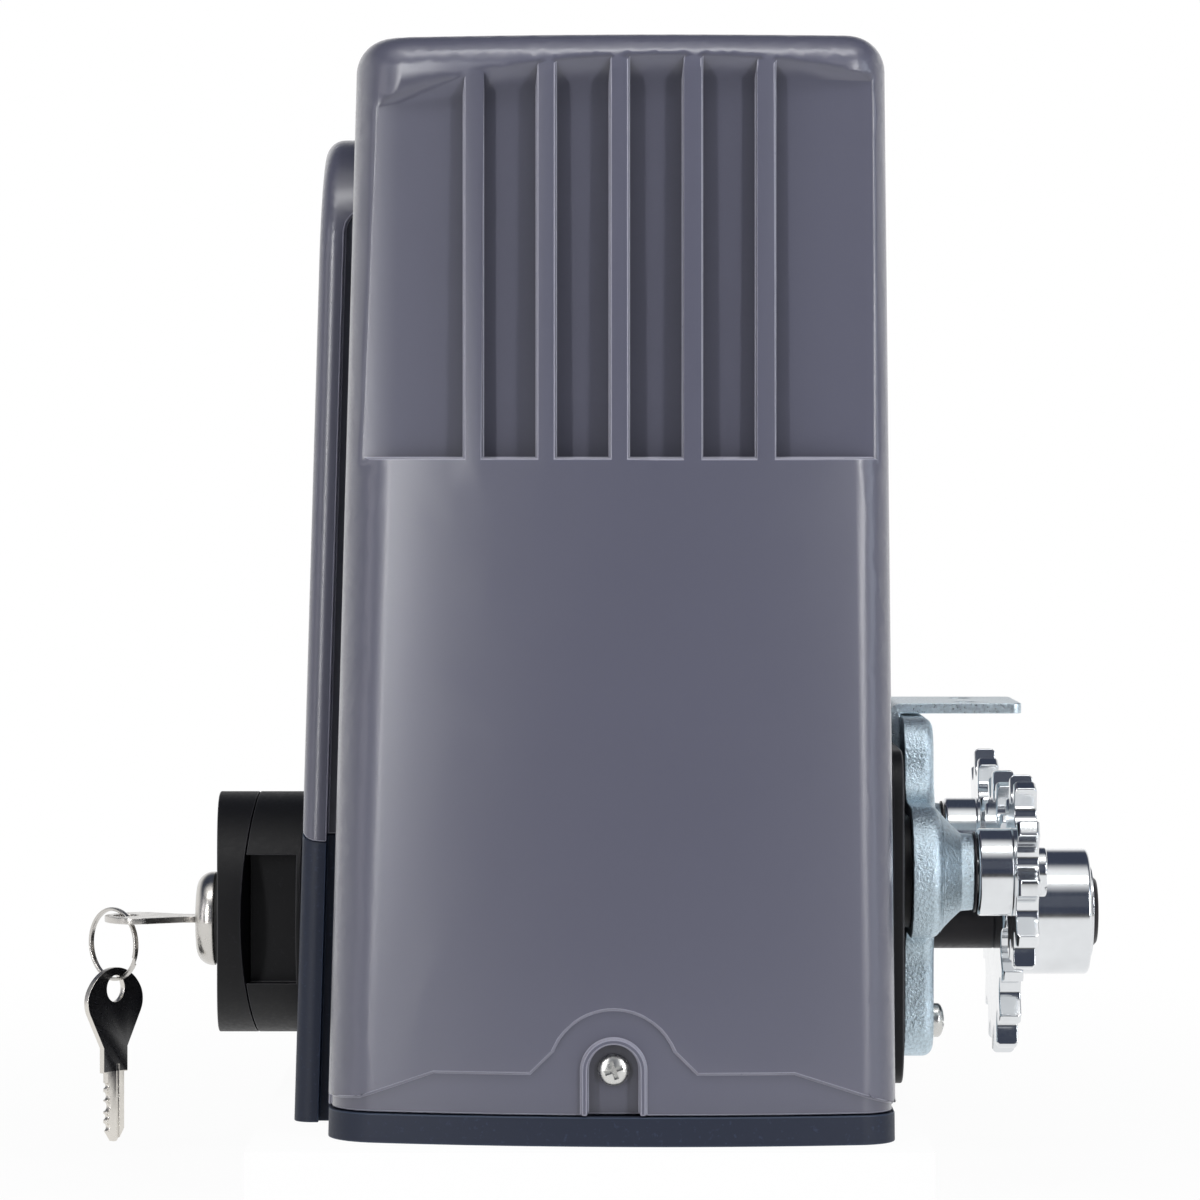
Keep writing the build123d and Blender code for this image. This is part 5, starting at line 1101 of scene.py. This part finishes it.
    def build(self) -> None:
        """Builds the whole studio."""
        self.camera()
        self.floor()
        self.world()
        self.lamp("left_box", (-1.62, -0.72, 0.3), (0.4, 1.7), 3.8, (1.0, 0.98, 1.0))
        self.lamp("right_box", (1.6, -0.8, 0.3), (0.5, 1.7), 7.5, (0.82, 0.9, 1.0))
        self.lamp("left_strip", (-1.0, -1.45, 0.3), (0.15, 1.7), 17.0)
        self.lamp("right_strip", (1.05, -1.4, 0.3), (0.15, 1.7), 17.0)
        self.lamp("top_box", (0.0, -0.75, 1.6), (1.8, 0.3), 11.0)
        self.lamp("front_box", (0.1, -2.6, 1.1), (2.4, 1.0), 0.3)
        bpy.context.scene.view_settings.view_transform = "Standard"


CASING = SubAssembly(
    "casing",
    Body.HOUSING,
    {"cover": 0.38 * MM, "base_housing": 0.3 * MM, "rear_panel": 0.4 * MM, "cable_grommet": 0.2 * MM},
    bevel_angle=75.0,
)
RELEASE_KNOB = SubAssembly(
    "release knob",
    Body.RELEASE_KNOB,
    {
        "release_knob_body": 0.2 * MM,
        "release_knob_cap": 0.25 * MM,
        "lock_cap": 0.1 * MM,
        "lock_seal": 0.15 * MM,
    },
    ("release_spindle", "lock_barrel"),
)
LOCK = SubAssembly("lock", Body.LOCK, {"lock_plug": 0.12 * MM, "lock_cam": 0.12 * MM})
CHAIN_FRAME = SubAssembly(
    "chain side",
    Body.HOUSING,
    {
        "carrier_plate": 0.35 * MM,
        "top_bracket": 0.25 * MM,
        "idler_pins": 0.25 * MM,
        "idler_washers": 0.08 * MM,
    },
)
DRIVE = SubAssembly(
    "drive shaft",
    Body.DRIVE,
    {"drive_sprocket": 0.35 * MM, "output_shaft": 0.3 * MM, "retaining_washer": 0.12 * MM},
    ("shaft_key", "worm_wheel", "disc_springs"),
)
NEAR_IDLER = SubAssembly(
    "near idler",
    Body.NEAR_IDLER,
    {"near_idler_sprocket": 0.3 * MM},
    finishes={"near_idler_sprocket": NEAR_IDLER_STEEL},
)
FAR_IDLER = SubAssembly(
    "far idler",
    Body.FAR_IDLER,
    {"far_idler_sprocket": 0.3 * MM},
    finishes={"far_idler_sprocket": FAR_IDLER_STEEL},
)
GEAR_CASE = SubAssembly(
    "gear case",
    Body.HOUSING,
    {},
    (
        "gear_case",
        "gear_case_lid",
        "case_lid_screws",
        "front_bearing",
        "rear_bearing",
        "worm_foot_bearing",
        "worm_head_bearing",
        "shaft_seal",
        "release_bush",
    ),
)
MOTOR = SubAssembly(
    "motor",
    Body.HOUSING,
    {},
    (
        "motor_housing",
        "stator_core",
        "stator_windings",
        "motor_end_cap",
        "end_cap_screws",
        "motor_head_bearing",
    ),
)
ROTOR = SubAssembly("motor rotor", Body.MOTOR_ROTOR, {}, ("worm_shaft", "rotor_core"))
CLUTCH = SubAssembly("clutch", Body.CLUTCH, {}, ("clutch_collar", "cross_pin", "push_rod"))
CONTROLS = SubAssembly(
    "controls",
    Body.HOUSING,
    {},
    (
        "board_tray",
        "board_standoffs",
        "control_board",
        "terminal_block",
        "relays",
        "transformer",
        "run_capacitor",
        "limit_sensor",
    ),
)
COVER_SCREWS = Screws(
    "cover_screws",
    Body.HOUSING,
    Vector((0.0, 1.0, 0.0)),
    head_height=2.4 * MM,
    shank_radius=2.0 * MM,
    mirrored=True,
)
PLATE_SCREWS = Screws(
    "plate_screws", Body.HOUSING, Vector((1.0, 0.0, 0.0)), head_height=2.9 * MM, shank_radius=2.5 * MM
)
BRACKET_SCREWS = Screws(
    "bracket_screws", Body.HOUSING, Vector((1.0, 0.0, 0.0)), head_height=2.0 * MM, shank_radius=2.0 * MM
)


def main() -> None:
    """Builds the studio and dresses every sub-assembly in order."""
    logging.basicConfig(level=logging.INFO, format="%(message)s")
    Studio().build()
    groups = [CASING, RELEASE_KNOB, LOCK, CHAIN_FRAME, DRIVE, NEAR_IDLER, FAR_IDLER]
    groups += [GEAR_CASE, MOTOR, ROTOR, CLUTCH, CONTROLS]
    for group in groups:
        group.dress()
    KeySet().dress()
    for screws in (COVER_SCREWS, PLATE_SCREWS, BRACKET_SCREWS):
        screws.dress()


if __name__ == "__main__":
    main()
